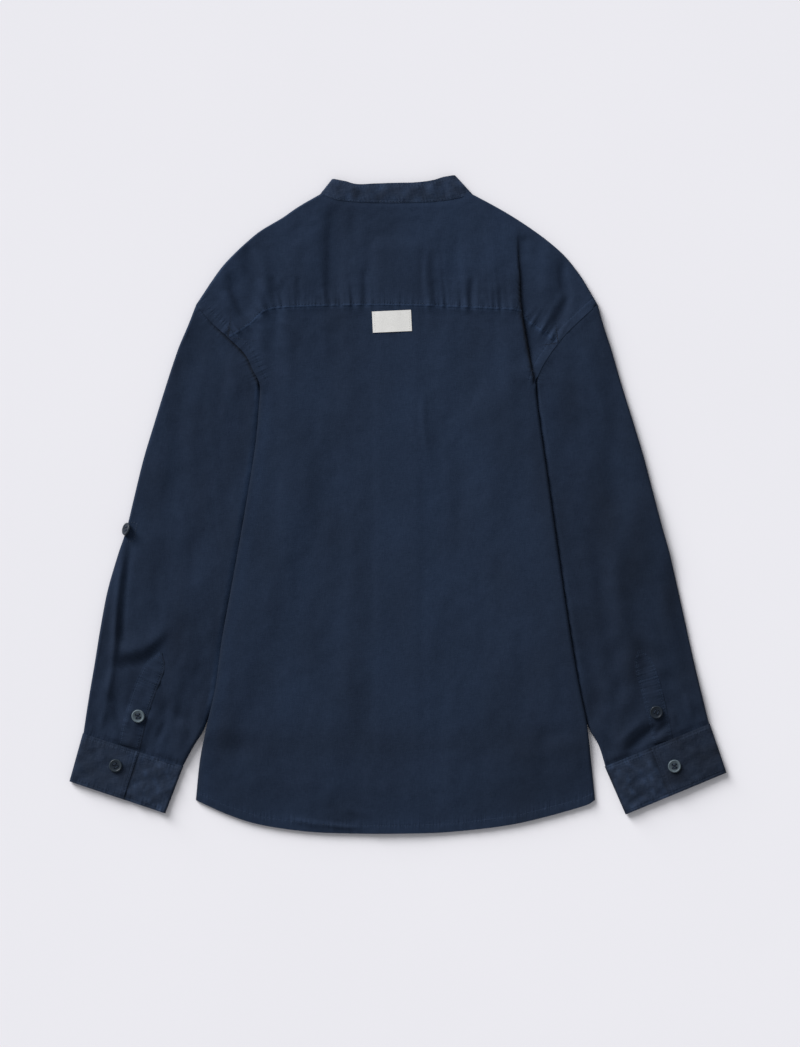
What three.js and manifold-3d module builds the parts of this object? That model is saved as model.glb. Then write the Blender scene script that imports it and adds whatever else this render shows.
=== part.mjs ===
// A child's shirt with a mandarin collar, laid flat on its front. The back is up, the sleeves are brought
// down beside the body, and the body's sides lie over the inner part of each sleeve.
// Millimetres. +Z is up from the surface that the shirt lies on, +Y runs to the collar and +X to the
// wearer's right. The origin is the middle of the shirt's outline, on that surface.
import * as THREE from "three";
import { mergeVertices } from "three/addons/utils/BufferGeometryUtils.js";
import Module from "manifold-3d";

const wasm = await Module();
wasm.setup();

// Driving sizes
const CLOTH = 1.0; // one wall of cloth
const BAND = 1.5; // collar and cuffs: folded cloth with interlining
const GAP = 0.3; // between pieces that lie on each other
const SEAM = 0.5; // between the edges of pieces that are sewn together
const LOFT = 5.0; // height of the back over the surface, with the air that stays in a laid shirt
const HEM_LOFT = 2.8; // the same at the hem, where the cloth lies closer
const SLEEVE_LOFT = 4.8; // height of a sleeve at its middle
const TUCKED_LOFT = 2.6; // height of a sleeve where the body lies on it
const SIDE_ROUND = 3.2; // how far in from a fold the cloth turns down
const BUTTON_RADIUS = 5.75;
const BUTTON_HEIGHT = 1.8;
const BUTTON_RAISE = BUTTON_HEIGHT + GAP; // what the cloth rises by where buttons lie under it
const FRONT_LAP = 12.5; // how far each front runs past the centre line
const HEM_STEP = 3; // how much shorter the fronts are than the back
const COLLAR_Y = 273; // where the collar meets the shoulder
const SHOULDER_Y = 176; // where the shoulder ends and the armhole seam starts
const CROSSING_Y = 105; // where the armhole seam goes under the body's side
const HEM_CORNER_Y = -260;
const YOKE_END_Y = { left: 147, right: 142 }; // where the yoke seam meets the armhole seam

// The body's two edges, a row for each height: shoulders, then armhole seams, then the sides' folds
const bodyEdges = [
  { y: 273, left: -68.4, right: 65.4 },
  { y: 262, left: -87.5, right: 86.0 },
  { y: 252, left: -102.0, right: 103.0 },
  { y: 241, left: -120.5, right: 119.5 },
  { y: 231, left: -132.9, right: 132.9 },
  { y: 220, left: -144.6, right: 145.4 },
  { y: 210, left: -154.0, right: 154.0 },
  { y: 199, left: -162.1, right: 162.0 },
  { y: 188, left: -169.5, right: 168.6 },
  { y: 176, left: -177.4, right: 175.6 },
  { y: 161, left: -165.0, right: 159.0 },
  { y: 148, left: -150.5, right: 145.9 },
  { y: 132, left: -134.4, right: 133.6 },
  { y: 118, left: -127.5, right: 125.3 },
  { y: 105, left: -121.4, right: 121.2 },
  { y: 87, left: -122.2, right: 122.8 },
  { y: 60, left: -124.4, right: 126.4 },
  { y: 34, left: -128.0, right: 130.2 },
  { y: -20, left: -137.0, right: 137.8 },
  { y: -80, left: -147.8, right: 146.4 },
  { y: -120, left: -155.0, right: 152.5 },
  { y: -160, left: -160.3, right: 159.4 },
  { y: -193, left: -167.8, right: 166.1 },
  { y: -225, left: -174.2, right: 169.9 },
  { y: -260, left: -177.8, right: 173.4 },
];

// The hem of the back, from the left corner to the right one
const hemRows = [
  { x: -177.8, y: -260 },
  { x: -149.6, y: -272.6 },
  { x: -121.4, y: -281.5 },
  { x: -79.2, y: -287.7 },
  { x: -37.0, y: -289.4 },
  { x: 5.3, y: -289.4 },
  { x: 47.5, y: -287.8 },
  { x: 103.8, y: -280.8 },
  { x: 160.2, y: -266.2 },
  { x: 173.4, y: -260 },
];

// The yoke seam between its two ends, which drops beside the folds at the shoulders
const yokeSeamRows = [
  { x: -139, y: 152.5 },
  { x: -128, y: 160.5 },
  { x: -118, y: 169.5 },
  { x: -100, y: 173.5 },
  { x: -40, y: 175.3 },
  { x: 20, y: 175.0 },
  { x: 80, y: 172.5 },
  { x: 106, y: 170.5 },
  { x: 114, y: 161.5 },
  { x: 127, y: 152.0 },
];

// The sleeves' outer folds, and their inner folds, which the body covers above y = -193
const sleeveOuter = [
  { y: 176, left: -177.4, right: 175.6 },
  { y: 157, left: -184.8, right: 180.9 },
  { y: 136, left: -193.6, right: 187.8 },
  { y: 104, left: -204.2, right: 197.1 },
  { y: 73, left: -213.8, right: 206.8 },
  { y: 41, left: -223.5, right: 216.5 },
  { y: 9, left: -231.4, right: 224.8 },
  { y: -22, left: -238.9, right: 233.0 },
  { y: -44, left: -246.2, right: 239.2 },
  { y: -75, left: -255.2, right: 246.4 },
  { y: -107, left: -261.4, right: 253.4 },
  { y: -139, left: -266.6, right: 260.5 },
  { y: -170, left: -271.9, right: 268.0 },
];
const sleeveInner = [
  { y: 78, left: -84, right: 84 },
  { y: 40, left: -93.5, right: 92.5 },
  { y: 0, left: -105, right: 103 },
  { y: -40, left: -117.5, right: 115 },
  { y: -80, left: -131, right: 128 },
  { y: -120, left: -144.5, right: 141 },
  { y: -160, left: -157.5, right: 154.5 },
  { y: -196, left: -169.8, right: 167.6 },
  { y: -212, left: -179.3, right: 176.6 },
];

// Each cuff's corners, and the line of its overlapping end, from the sleeve to the wrist
const cuffs = {
  left: {
    sleeveOuter: { x: -277.4, y: -201.0 },
    sleeveInner: { x: -188.8, y: -230.2 },
    wristOuter: { x: -289.2, y: -243.4 },
    wristInner: { x: -204.6, y: -271.6 },
    lap: 0.56, // share of the width from the outer fold to the overlapping end
  },
  right: {
    sleeveOuter: { x: 274.4, y: -192.4 },
    sleeveInner: { x: 181.8, y: -230.4 },
    wristOuter: { x: 289.2, y: -235.6 },
    wristInner: { x: 200.2, y: -272.6 },
    lap: 0.56,
  },
};
const CUFF_LAP = 22; // how far the under end runs below the overlapping end

// The sleeve plackets: middle line from the cuff to the tip, with the half width there
const plackets = {
  left: [
    { x: -236.5, y: -211.0, half: 10 },
    { x: -230.0, y: -185.0, half: 10 },
    { x: -221.5, y: -160.0, half: 10 },
    { x: -213.0, y: -141.0, half: 8.5 },
    { x: -208.5, y: -130.0, half: 1.5 },
  ],
  right: [
    { x: 233.0, y: -206.5, half: 9 },
    { x: 228.0, y: -185.0, half: 9 },
    { x: 222.0, y: -160.0, half: 9 },
    { x: 215.5, y: -139.0, half: 8 },
    { x: 212.5, y: -128.0, half: 1.5 },
  ],
};

// The collar stand: points on its neck seam and on its free edge. The back half shows.
const collarBack = [
  { seamX: -68.4, seamY: 273.0, edgeX: -58.0, edgeY: 286.2 },
  { seamX: -57.2, seamY: 269.0, edgeX: -46.6, edgeY: 284.4 },
  { seamX: -46.0, seamY: 266.8, edgeX: -36.1, edgeY: 281.7 },
  { seamX: -24.0, seamY: 265.6, edgeX: -20.0, edgeY: 282.2 },
  { seamX: -2.0, seamY: 265.3, edgeX: -4.0, edgeY: 282.8 },
  { seamX: 18.0, seamY: 265.7, edgeX: 15.0, edgeY: 283.2 },
  { seamX: 36.0, seamY: 266.8, edgeX: 30.7, edgeY: 285.2 },
  { seamX: 51.9, seamY: 269.3, edgeX: 40.0, edgeY: 288.0 },
  { seamX: 65.4, seamY: 273.0, edgeX: 50.4, edgeY: 289.4 },
];
// Its front halves lie under the yoke. This is the right one, from the centre to the fold.
const collarFront = [
  { seamX: 0, seamY: 205, edgeX: 0, edgeY: 227 },
  { seamX: 16, seamY: 206.5, edgeX: 12, edgeY: 228 },
  { seamX: 34, seamY: 213, edgeX: 24, edgeY: 234 },
  { seamX: 51, seamY: 227, edgeX: 36, edgeY: 245 },
  { seamX: 62, seamY: 249, edgeX: 45, edgeY: 265 },
];
const COLLAR_LAP = 11; // how far each end of the collar runs past the centre line

// The fold that runs from the yoke to the right armhole: its line, and how far the cloth steps down there
const shoulderFold = [
  { y: 245, x: 105.2, step: 0 },
  { y: 224, x: 105.6, step: 0.9 },
  { y: 204, x: 106.4, step: 2.0 },
  { y: 182, x: 106.8, step: 2.4 },
  { y: 166, x: 108.6, step: 2.5 },
  { y: 132, x: 114.4, step: 2.6 },
  { y: 112, x: 118.5, step: 2.6 },
  { y: 104, x: 120.0, step: 0 },
];

// The largest soft folds: a ridge (or a trough, with a height under 0) from one point to another
const bodyFolds = [
  { x0: -119, y0: 212, x1: -119, y1: 120, width: 7, height: 0.8 },
  { x0: -59, y0: 262, x1: -61, y1: 178, width: 9, height: -0.9 },
  { x0: 17, y0: 232, x1: 18, y1: 176, width: 8, height: -0.6 },
  { x0: -101, y0: 168, x1: -96, y1: 90, width: 9, height: 0.6 },
  { x0: -136, y0: 226, x1: -121, y1: 196, width: 5, height: -0.8 },
  { x0: -150, y0: 188, x1: -131, y1: 160, width: 5, height: 0.8 },
  { x0: 146, y0: 214, x1: 149, y1: 168, width: 5, height: -0.8 },
];
const sleeveFolds = [
  { x0: -252, y0: -134, x1: -213, y1: -121, width: 8, height: 1.0 },
  { x0: -243, y0: -62, x1: -256, y1: -140, width: 5, height: 0.8 },
  { x0: -205, y0: -205, x1: -183, y1: -190, width: 8, height: 0.8 },
  { x0: 196, y0: -214, x1: 220, y1: -190, width: 7, height: 0.9 },
  { x0: 232, y0: -60, x1: 236, y1: -128, width: 10, height: 0.7 },
  { x0: 180, y0: 60, x1: 196, y1: -60, width: 10, height: 0.6 },
  { x0: -176, y0: 60, x1: -196, y1: -60, width: 10, height: 0.6 },
];

const labelPlace = { x: -5.3, y: 161, width: 34, height: 18.6, turn: 2.2 };
const frontButtonYs = [175, 105, 35, -35, -105, -175];
const COLLAR_BUTTON_Y = 215;
const cuffButtons = { left: { x: -248.2, y: -229.5 }, right: { x: 243.0, y: -230.0 } };
const placketButtons = { left: { x: -228.3, y: -186.0 }, right: { x: 227.0, y: -182.5 } };
const tabButtons = { left: { x: -238.9, y: -21.5 }, right: { x: 226.0, y: -24.0 } };
const TAB_LEAN = 58; // degrees that the left tab button leans out over the fold
const TAB_TURN = -17; // and how far the fold is turned there from +Y

const { smoothstep, lerp, degToRad } = THREE.MathUtils;

// A table's column at height y, straight between its rows. Past its ends it keeps the end's value.
function columnAt(rows, column, y) {
  const below = rows.findIndex((row) => row.y <= y);
  if (below === 0) return rows[0][column];
  if (below < 0) return rows[rows.length - 1][column];
  const high = rows[below - 1];
  const low = rows[below];
  return lerp(low[column], high[column], (y - low.y) / (high.y - low.y));
}

function hemAt(x) {
  const next = hemRows.findIndex((row) => row.x >= x);
  if (next <= 0) return next ? HEM_CORNER_Y : hemRows[0].y;
  const [a, b] = [hemRows[next - 1], hemRows[next]];
  return lerp(a.y, b.y, (x - a.x) / (b.x - a.x));
}

// Signs and mirrored distances: +1 on the wearer's right, -1 on the left
const signOf = (side) => (side === "left" ? -1 : 1);

function ridges(folds, x, y) {
  let sum = 0;
  for (const fold of folds) {
    const alongX = fold.x1 - fold.x0;
    const alongY = fold.y1 - fold.y0;
    const length = Math.hypot(alongX, alongY);
    const t = ((x - fold.x0) * alongX + (y - fold.y0) * alongY) / length ** 2;
    const off = Math.abs((x - fold.x0) * alongY - (y - fold.y0) * alongX) / length;
    const fade = smoothstep(t, -0.15, 0.25) * (1 - smoothstep(t, 0.75, 1.15));
    sum += fold.height * fade * Math.exp(-((off / fold.width) ** 2));
  }
  return sum;
}

// 1 where the body lies on the hidden part of a sleeve, falling to 0 past its edges
function overSleeve(x, y) {
  const side = x < 0 ? "left" : "right";
  const inner = columnAt(sleeveInner, side, y);
  const crossing = columnAt(bodyEdges, side, CROSSING_Y);
  const underarm = sleeveInner[0];
  const slope = (CROSSING_Y - underarm.y) / (Math.abs(crossing) - Math.abs(underarm[side]));
  const capY = underarm.y + slope * (Math.abs(x) - Math.abs(underarm[side]));
  const inward = 1 - smoothstep(Math.abs(inner) - Math.abs(x), 16, 44);
  const upward = 1 - smoothstep(y - capY, 14, 36);
  return inward * upward * smoothstep(y, -234, -203);
}

// Where the row of buttons lies under the fronts
const overButtons = (x, y) => (1 - smoothstep(Math.abs(x), 14, 34)) * smoothstep(y, -252, -200);

// Underside of the front panels. The right one also lies on the left one where they overlap.
function frontUnder(x, y) {
  return (TUCKED_LOFT + 1.5 * GAP) * overSleeve(x, y) + BUTTON_RAISE * overButtons(x, y);
}
const onLeftFront = (x) => (CLOTH + GAP) * (1 - smoothstep(x, FRONT_LAP + 4, FRONT_LAP + 24));
const rightFrontUnder = (x, y) => frontUnder(x, y) + onLeftFront(x);

// Top of what lies under the back: two fronts at the centre, and the collar's two ends near the neck
function frontStack(x, y) {
  const overlap = 1 - smoothstep(Math.abs(x), FRONT_LAP + 4, FRONT_LAP + 24);
  const collar = smoothstep(y, 176, 203) * (1 - smoothstep(Math.abs(x), 70, 90));
  const layers = CLOTH + collar * (BAND - CLOTH);
  return frontUnder(x, y) + layers + overlap * (layers + GAP);
}

function foldStep(x, y) {
  const line = columnAt(shoulderFold, "x", y);
  const step = y > shoulderFold[0].y ? 0 : columnAt(shoulderFold, "step", y);
  return x > line ? -step * Math.exp(-(x - line) / 26) : 0.3 * step * Math.exp((x - line) / 20);
}

// Outer face of the back and yoke
function backTop(x, y) {
  const level = lerp(HEM_LOFT, LOFT, smoothstep(y - hemAt(x), 2, 46));
  const free = level + 0.6 * (TUCKED_LOFT + GAP) * overSleeve(x, y);
  const shaped = free + ridges(bodyFolds, x, y) + foldStep(x, y);
  return Math.max(shaped, frontStack(x, y) + 2 * GAP + CLOTH);
}

// Outer face of a sleeve, which sinks to where the body's side lies on it
function sleeveTop(side, x, y) {
  const edge = Math.abs(columnAt(bodyEdges, side, Math.min(y, CROSSING_Y)));
  const outward = 1 - smoothstep(Math.abs(x) - edge, 4, 42);
  const upward = 1 - smoothstep(y - CROSSING_Y, 4, 30);
  const sunk = outward * upward * smoothstep(y, -228, -198);
  const raised = 0.5 * sleeveUnder(side, x, y);
  const free = SLEEVE_LOFT + raised + ridges(sleeveFolds, x, y) * (1 - sunk);
  return lerp(free, TUCKED_LOFT, sunk);
}

// Underside of a sleeve: the right one is raised over its tab button
function sleeveUnder(side, x, y) {
  if (side === "left") return 0;
  const away = Math.hypot(x - tabButtons.right.x, y - tabButtons.right.y);
  return BUTTON_RAISE * (1 - smoothstep(away, 22, 48));
}

const flat = (points) => points.map((p) => new THREE.Vector3(p.x, p.y, 0));

function curveThrough(points) {
  return new THREE.CatmullRomCurve3(flat(points), false, "catmullrom", 0.5);
}

function joined(...curves) {
  const path = new THREE.CurvePath();
  curves.forEach((curve) => path.add(curve));
  return path;
}

// The stretch of a two-sided table between two heights, as points from the upper to the lower one
function stretch(rows, side, fromY, toY) {
  const between = rows.filter((row) => row.y < fromY - 1 && row.y > toY + 1);
  const ends = [fromY, toY].map((y) => ({ x: columnAt(rows, side, y), y }));
  return [ends[0], ...between.map((row) => ({ x: row[side], y: row.y })), ends[1]];
}

// A panel's plan from its four edges: f runs from the first side to the second, v from top to bottom. The
// ease says how soon the first side's shape gives way to the second's.
function panelPlan(top, bottom, sideA, sideB, ease = 1) {
  const at = (curve, t) => (curve.getPointAt ? curve.getPointAt(t) : curve.getPoint(t));
  const [topA, topB, lowA, lowB] = [at(top, 0), at(top, 1), at(bottom, 0), at(bottom, 1)];
  return (f, v) => {
    const [a, b, t, l] = [at(sideA, v), at(sideB, v), at(top, f), at(bottom, f)];
    const g = 1 - (1 - f) ** ease;
    const blend = (k) =>
      lerp(a[k], b[k], g) +
      lerp(t[k], l[k], v) -
      lerp(lerp(topA[k], topB[k], g), lerp(lowA[k], lowB[k], g), v);
    return { x: blend("x"), y: blend("y") };
  };
}

// A closed wall of cloth. The outer face is a grid of points, the inner face is that grid moved in along the
// surface's own normals, and rims join the two. A ring's columns close on themselves.
function clothWall(grid, thickness, isRing = false) {
  const rows = grid.length;
  const columns = grid[0].length;
  const wrap = (i) => (i + columns) % columns;
  const clamp = (i) => Math.min(Math.max(i, 0), columns - 1);
  const column = isRing ? wrap : clamp;
  const normal = (j, i) => {
    const across = grid[j][column(i + 1)].clone().sub(grid[j][column(i - 1)]);
    const down = grid[Math.min(j + 1, rows - 1)][i].clone().sub(grid[Math.max(j - 1, 0)][i]);
    const along = new THREE.Vector3(down.x, down.y, 0).normalize();
    const out = down.cross(across).normalize();
    if (j === 0 || j === rows - 1) out.addScaledVector(along, -out.dot(along));
    const isSide = !isRing && (i === 0 || i === columns - 1);
    if (isSide) out.z *= smoothstep(Math.abs(out.z), 0.55, 0.9);
    return out.normalize();
  };
  const vertices = [];
  for (const inset of [0, thickness])
    grid.forEach((row, j) =>
      row.forEach((point, i) =>
        vertices.push(point.clone().addScaledVector(normal(j, i), -inset)),
      ),
    );
  const outer = (j, i) => j * columns + column(i);
  const inner = (j, i) => rows * columns + outer(j, i);
  const faces = [];
  const quad = (a, b, c, d) => faces.push(a, b, c, a, c, d);
  const lastColumn = isRing ? columns : columns - 1;
  for (let j = 0; j < rows - 1; j++)
    for (let i = 0; i < lastColumn; i++) {
      quad(outer(j, i), outer(j + 1, i), outer(j + 1, i + 1), outer(j, i + 1));
      quad(inner(j, i), inner(j, i + 1), inner(j + 1, i + 1), inner(j + 1, i));
    }
  for (let i = 0; i < lastColumn; i++) {
    quad(outer(0, i), outer(0, i + 1), inner(0, i + 1), inner(0, i));
    quad(outer(rows - 1, i + 1), outer(rows - 1, i), inner(rows - 1, i), inner(rows - 1, i + 1));
  }
  if (!isRing)
    for (let j = 0; j < rows - 1; j++) {
      quad(outer(j + 1, 0), outer(j, 0), inner(j, 0), inner(j + 1, 0));
      quad(outer(j, lastColumn), outer(j + 1, lastColumn), inner(j + 1, lastColumn), inner(j, lastColumn));
    }
  const geometry = new THREE.BufferGeometry().setFromPoints(vertices);
  geometry.setIndex(faces);
  geometry.computeVertexNormals();
  return geometry;
}

const steps = (count) => Array.from({ length: count + 1 }, (_, i) => i / count);
const shift = (points, dx, dy) => points.map((p) => ({ x: p.x + dx, y: p.y + dy }));

// The yoke seam, moved up or down by half its gap
function yokeSeam(offset) {
  const endAt = (side) => {
    const y = YOKE_END_Y[side] + offset;
    return { x: columnAt(bodyEdges, side, y), y };
  };
  return curveThrough([endAt("left"), ...shift(yokeSeamRows, 0, offset), endAt("right")]);
}

// A row of points across the body, with the sides turned down by their curl and a pair of columns on the
// shoulder fold. The plan gives x and y, and the height comes from backTop.
function bodyRow(plan, v, columnsAcross, curl) {
  const width = plan(1, v).x - plan(0, v).x;
  const turn = [0, 30, 60, 90].map((angle) => 1 - Math.cos(degToRad(angle)));
  const left = turn.map((t) => (t * SIDE_ROUND) / width);
  const middleY = plan(0.93, v).y;
  const line = Math.min(columnAt(shoulderFold, "x", middleY), plan(1, v).x - 9);
  const share = (line - plan(0, v).x) / width;
  const pair = 0.7 / width;
  const main = steps(columnsAcross).map((s) => lerp(left[3], share - pair, s)).slice(1);
  const last = [0, 0.45, 1].map((s) => lerp(share + pair, 1 - left[3], s));
  const fractions = [...left, ...main, ...last, ...left.map((f) => 1 - f).reverse().slice(1)];
  return fractions.map((f) => {
    const { x, y } = plan(f, v);
    const top = backTop(x, y);
    const inside = Math.min(f, 1 - f) * width;
    const turned = Math.sqrt(Math.max(0, 1 - Math.max(0, 1 - inside / SIDE_ROUND) ** 2));
    const foot = frontStack(x, y) + 1.5 * GAP;
    const amount = f < 0.5 ? curl.left : curl.right;
    return new THREE.Vector3(x, y, lerp(top, lerp(foot, top, turned), amount));
  });
}

const sideCurve = (side, fromY, toY) => curveThrough(stretch(bodyEdges, side, fromY, toY));

function lowerBack() {
  const plan = panelPlan(
    yokeSeam(-SEAM / 2),
    curveThrough(hemRows),
    sideCurve("left", YOKE_END_Y.left - SEAM / 2, HEM_CORNER_Y),
    sideCurve("right", YOKE_END_Y.right - SEAM / 2, HEM_CORNER_Y),
  );
  const downTheBack = [0, 0.03, 0.06, 0.09, 0.12, 0.155, 0.2, 0.25, 0.31, 0.37, 0.43, 0.49, 0.55];
  downTheBack.push(0.61, 0.67, 0.73, 0.79, 0.84, 0.88, 0.92, 0.96, 1);
  const grid = downTheBack.map((v) => {
    const curl = { left: 0, right: 0 };
    for (const side of ["left", "right"])
      curl[side] = 1 - smoothstep(plan(side === "left" ? 0 : 1, v).y, CROSSING_Y - 8, CROSSING_Y + 2);
    return bodyRow(plan, v, 18, curl);
  });
  return clothWall(grid, CLOTH);
}

function yoke() {
  const neckY = COLLAR_Y - 1.5 * SEAM;
  const shoulderAndArmhole = (side) =>
    joined(
      sideCurve(side, neckY, SHOULDER_Y),
      sideCurve(side, SHOULDER_Y, YOKE_END_Y[side] + SEAM / 2),
    );
  const neckEnds = ["left", "right"].map((side) => ({ x: columnAt(bodyEdges, side, neckY), y: neckY }));
  const neck = collarBack.slice(1, -1).map((row) => ({ x: row.seamX, y: row.seamY - 1.5 * SEAM }));
  const plan = panelPlan(
    curveThrough([neckEnds[0], ...neck, neckEnds[1]]),
    yokeSeam(SEAM / 2),
    shoulderAndArmhole("left"),
    shoulderAndArmhole("right"),
  );
  const downTheYoke = [0, 0.07, 0.15, 0.24, 0.34, 0.45, 0.56, 0.67, 0.76, 0.8, 0.86, 0.93, 1];
  const grid = downTheYoke.map((v) => {
    const curl = { left: 0, right: 0 };
    for (const side of ["left", "right"])
      curl[side] = smoothstep(plan(side === "left" ? 0 : 1, v).y, SHOULDER_Y - 5, SHOULDER_Y + 1);
    return bodyRow(plan, v, 18, curl);
  });
  return clothWall(grid, CLOTH);
}

// The neck seam of one front half, from the centre to the fold, kept off the collar by a distance
function neckSeam(side, distance) {
  const sign = signOf(side);
  const end = side === "left" ? collarBack[0] : collarBack.at(-1);
  const rows = collarFront.map((row) => ({ x: sign * row.seamX, y: row.seamY }));
  const curve = curveThrough([...rows, { x: end.seamX, y: end.seamY }]);
  return steps(12).map((t) => {
    const point = curve.getPointAt(t);
    const tangent = curve.getTangentAt(t);
    return { x: point.x + sign * tangent.y * distance, y: point.y - sign * tangent.x * distance };
  });
}

// A front panel, from the side to past the centre line. Its outer face lies down, on the surface.
function front(side) {
  const sign = signOf(side);
  const lapX = -sign * FRONT_LAP;
  const shoulder = stretch(bodyEdges, side, COLLAR_Y, SHOULDER_Y).reverse();
  const neckline = neckSeam(side, 1.6 * SEAM).reverse();
  neckline.push({ x: lapX, y: neckline.at(-1).y + 0.6 });
  const isInside = (p) => sign * p.x > -FRONT_LAP + 8;
  const hemPoints = [...hemRows].sort((a, b) => sign * (b.x - a.x)).filter(isInside);
  const hem = [...hemPoints, { x: lapX, y: hemAt(lapX) }];
  const lifted = hem.map((p, i) => ({ x: p.x, y: p.y + (i ? HEM_STEP : 0) }));
  const centre = [neckline.at(-1), lifted.at(-1)];
  const plan = panelPlan(
    joined(curveThrough([...shoulder.slice(0, -1), neckline[0]]), curveThrough(neckline)),
    curveThrough(lifted),
    sideCurve(side, SHOULDER_Y, HEM_CORNER_Y),
    new THREE.LineCurve3(...flat(centre)),
    2.5,
  );
  const under = side === "left" ? frontUnder : rightFrontUnder;
  const down = [0, 0.035, 0.07, 0.105, 0.14, 0.17, 0.2, 0.23, 0.27, 0.31, 0.36, 0.41, 0.46, 0.52];
  down.push(0.58, 0.64, 0.7, 0.76, 0.82, 0.88, 0.94, 1);
  const across = [0, 0.05, 0.12, 0.21, 0.31, 0.42, 0.5, 0.55, 0.6, 0.65, 0.7, 0.76, 0.82, 0.88, 0.94, 1];
  const grid = down.map((v) =>
    across.map((f) => {
      const { x, y } = plan(f, v);
      return new THREE.Vector3(x, y, under(x, y));
    }),
  );
  if (side === "right") grid.forEach((row) => row.reverse());
  grid.forEach((row) => row.reverse());
  return clothWall(grid, CLOTH);
}

// Points of a flattened ring, as {across, z} from its outer fold: over the top from the inner fold, round
// the outer fold, back under the ring and round the inner fold
function flatRing(width, topAt, underAt, topCount, underCount) {
  const points = [];
  const fold = (edge, from) => {
    const across = edge ? width : 0;
    const high = topAt(across);
    const low = underAt(across);
    const radius = (high - low) / 2;
    for (const angle of [45, 90, 135]) {
      const turn = degToRad(angle);
      const inward = radius * (1 - Math.sin(turn));
      const z = low + radius + (from === "top" ? 1 : -1) * radius * Math.cos(turn);
      points.push({ across: edge ? width - inward : inward, z });
    }
  };
  const reach = (edge) => (topAt(edge ? width : 0) - underAt(edge ? width : 0)) / 2;
  const span = (s) => lerp(reach(0), width - reach(1), s);
  steps(topCount).forEach((s) => points.push({ across: span(1 - s), z: topAt(span(1 - s)) }));
  fold(0, "top");
  steps(underCount).forEach((s) => {
    const across = span(s ** 1.5);
    points.push({ across, z: underAt(across) });
  });
  fold(1, "under");
  return points;
}

function sleeve(side) {
  const sign = signOf(side);
  const cuff = cuffs[side];
  const crossing = { x: columnAt(bodyEdges, side, CROSSING_Y), y: CROSSING_Y };
  const underarm = { x: sleeveInner[0][side], y: sleeveInner[0].y };
  const seamline = [...stretch(bodyEdges, side, SHOULDER_Y, CROSSING_Y), underarm];
  const cap = curveThrough(shift(seamline, sign * SEAM * 0.85, -SEAM * 0.85));
  const start = cap.getPointAt(0);
  const end = cap.getPointAt(1);
  const asPoints = (rows) => rows.slice(1).map((row) => ({ x: row[side], y: row.y }));
  const wristward = ({ x, y }) => ({ x: x - sign * 0.1, y: y + SEAM });
  const plan = panelPlan(
    cap,
    new THREE.LineCurve3(...flat([cuff.sleeveOuter, cuff.sleeveInner].map(wristward))),
    curveThrough([start, ...asPoints(sleeveOuter), wristward(cuff.sleeveOuter)]),
    curveThrough([end, ...asPoints(sleeveInner), wristward(cuff.sleeveInner)]),
  );
  const downTheSleeve = [0, 0.03, 0.07, 0.12, 0.17, 0.23, 0.29, 0.35, 0.41, 0.47, 0.53, 0.59, 0.65];
  downTheSleeve.push(0.71, 0.77, 0.83, 0.88, 0.92, 0.96, 1);
  const grid = downTheSleeve.map((v) => {
    const [outer, inner] = [plan(0, v), plan(1, v)];
    const width = Math.hypot(outer.x - inner.x, outer.y - inner.y);
    const heightAt = (measure) => (across) => {
      const { x, y } = plan(across / width, v);
      return measure(side, x, y);
    };
    const ring = flatRing(width, heightAt(sleeveTop), heightAt(sleeveUnder), 9, 6);
    return ring.map(({ across, z }) => {
      const { x, y } = plan(across / width, v);
      return new THREE.Vector3(x, y, z);
    });
  });
  if (side === "left") grid.forEach((row) => row.reverse());
  return clothWall(grid, CLOTH, true);
}

// A cuff, from its overlapping end round the outer fold, under the wrist and round the inner fold to its
// under end, which lies below the overlapping end
function cuff(side) {
  const corners = cuffs[side];
  const ends = flat([corners.sleeveOuter, corners.sleeveInner, corners.wristOuter, corners.wristInner]);
  const [sleeveOut, sleeveIn, wristOut, wristIn] = ends;
  const rows = steps(4).map((v) => {
    const outer = sleeveOut.clone().lerp(wristOut, v);
    const inner = sleeveIn.clone().lerp(wristIn, v);
    const width = outer.distanceTo(inner);
    const lapAt = corners.lap * width;
    const low = 2 * BAND + GAP;
    const high = 3 * BAND + 2 * GAP;
    const overTop = (across) => high - 0.5 * smoothstep(lapAt - across, 10, lapAt);
    const underTop = (across) =>
      lerp(low, SLEEVE_LOFT - 0.4, smoothstep(across, lapAt + 4, lapAt + 24));
    const path = [];
    steps(6).forEach((s) => path.push([lerp(lapAt, high / 2, s), overTop(lerp(lapAt, high / 2, s))]));
    const foldRound = (across, direction, top) => {
      for (const angle of [45, 90, 135]) {
        const turn = direction > 0 ? degToRad(180 - angle) : degToRad(angle);
        const out = (top / 2) * Math.sin(turn);
        path.push([across + direction * out, top / 2 + (top / 2) * Math.cos(turn)]);
      }
    };
    const innerTop = underTop(width);
    foldRound(high / 2, -1, overTop(0));
    steps(5).forEach((s) => path.push([lerp(high / 2, width - innerTop / 2, s), 0]));
    foldRound(width - innerTop / 2, 1, innerTop);
    steps(8).forEach((s) => {
      const across = lerp(width - innerTop / 2, lapAt - CUFF_LAP, s);
      path.push([across, underTop(across)]);
    });
    return path.map(([across, z]) => {
      const point = outer.clone().lerp(inner, across / width);
      return new THREE.Vector3(point.x, point.y, z);
    });
  });
  if (side === "left") rows.forEach((row) => row.reverse());
  return clothWall(rows, BAND);
}

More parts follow.
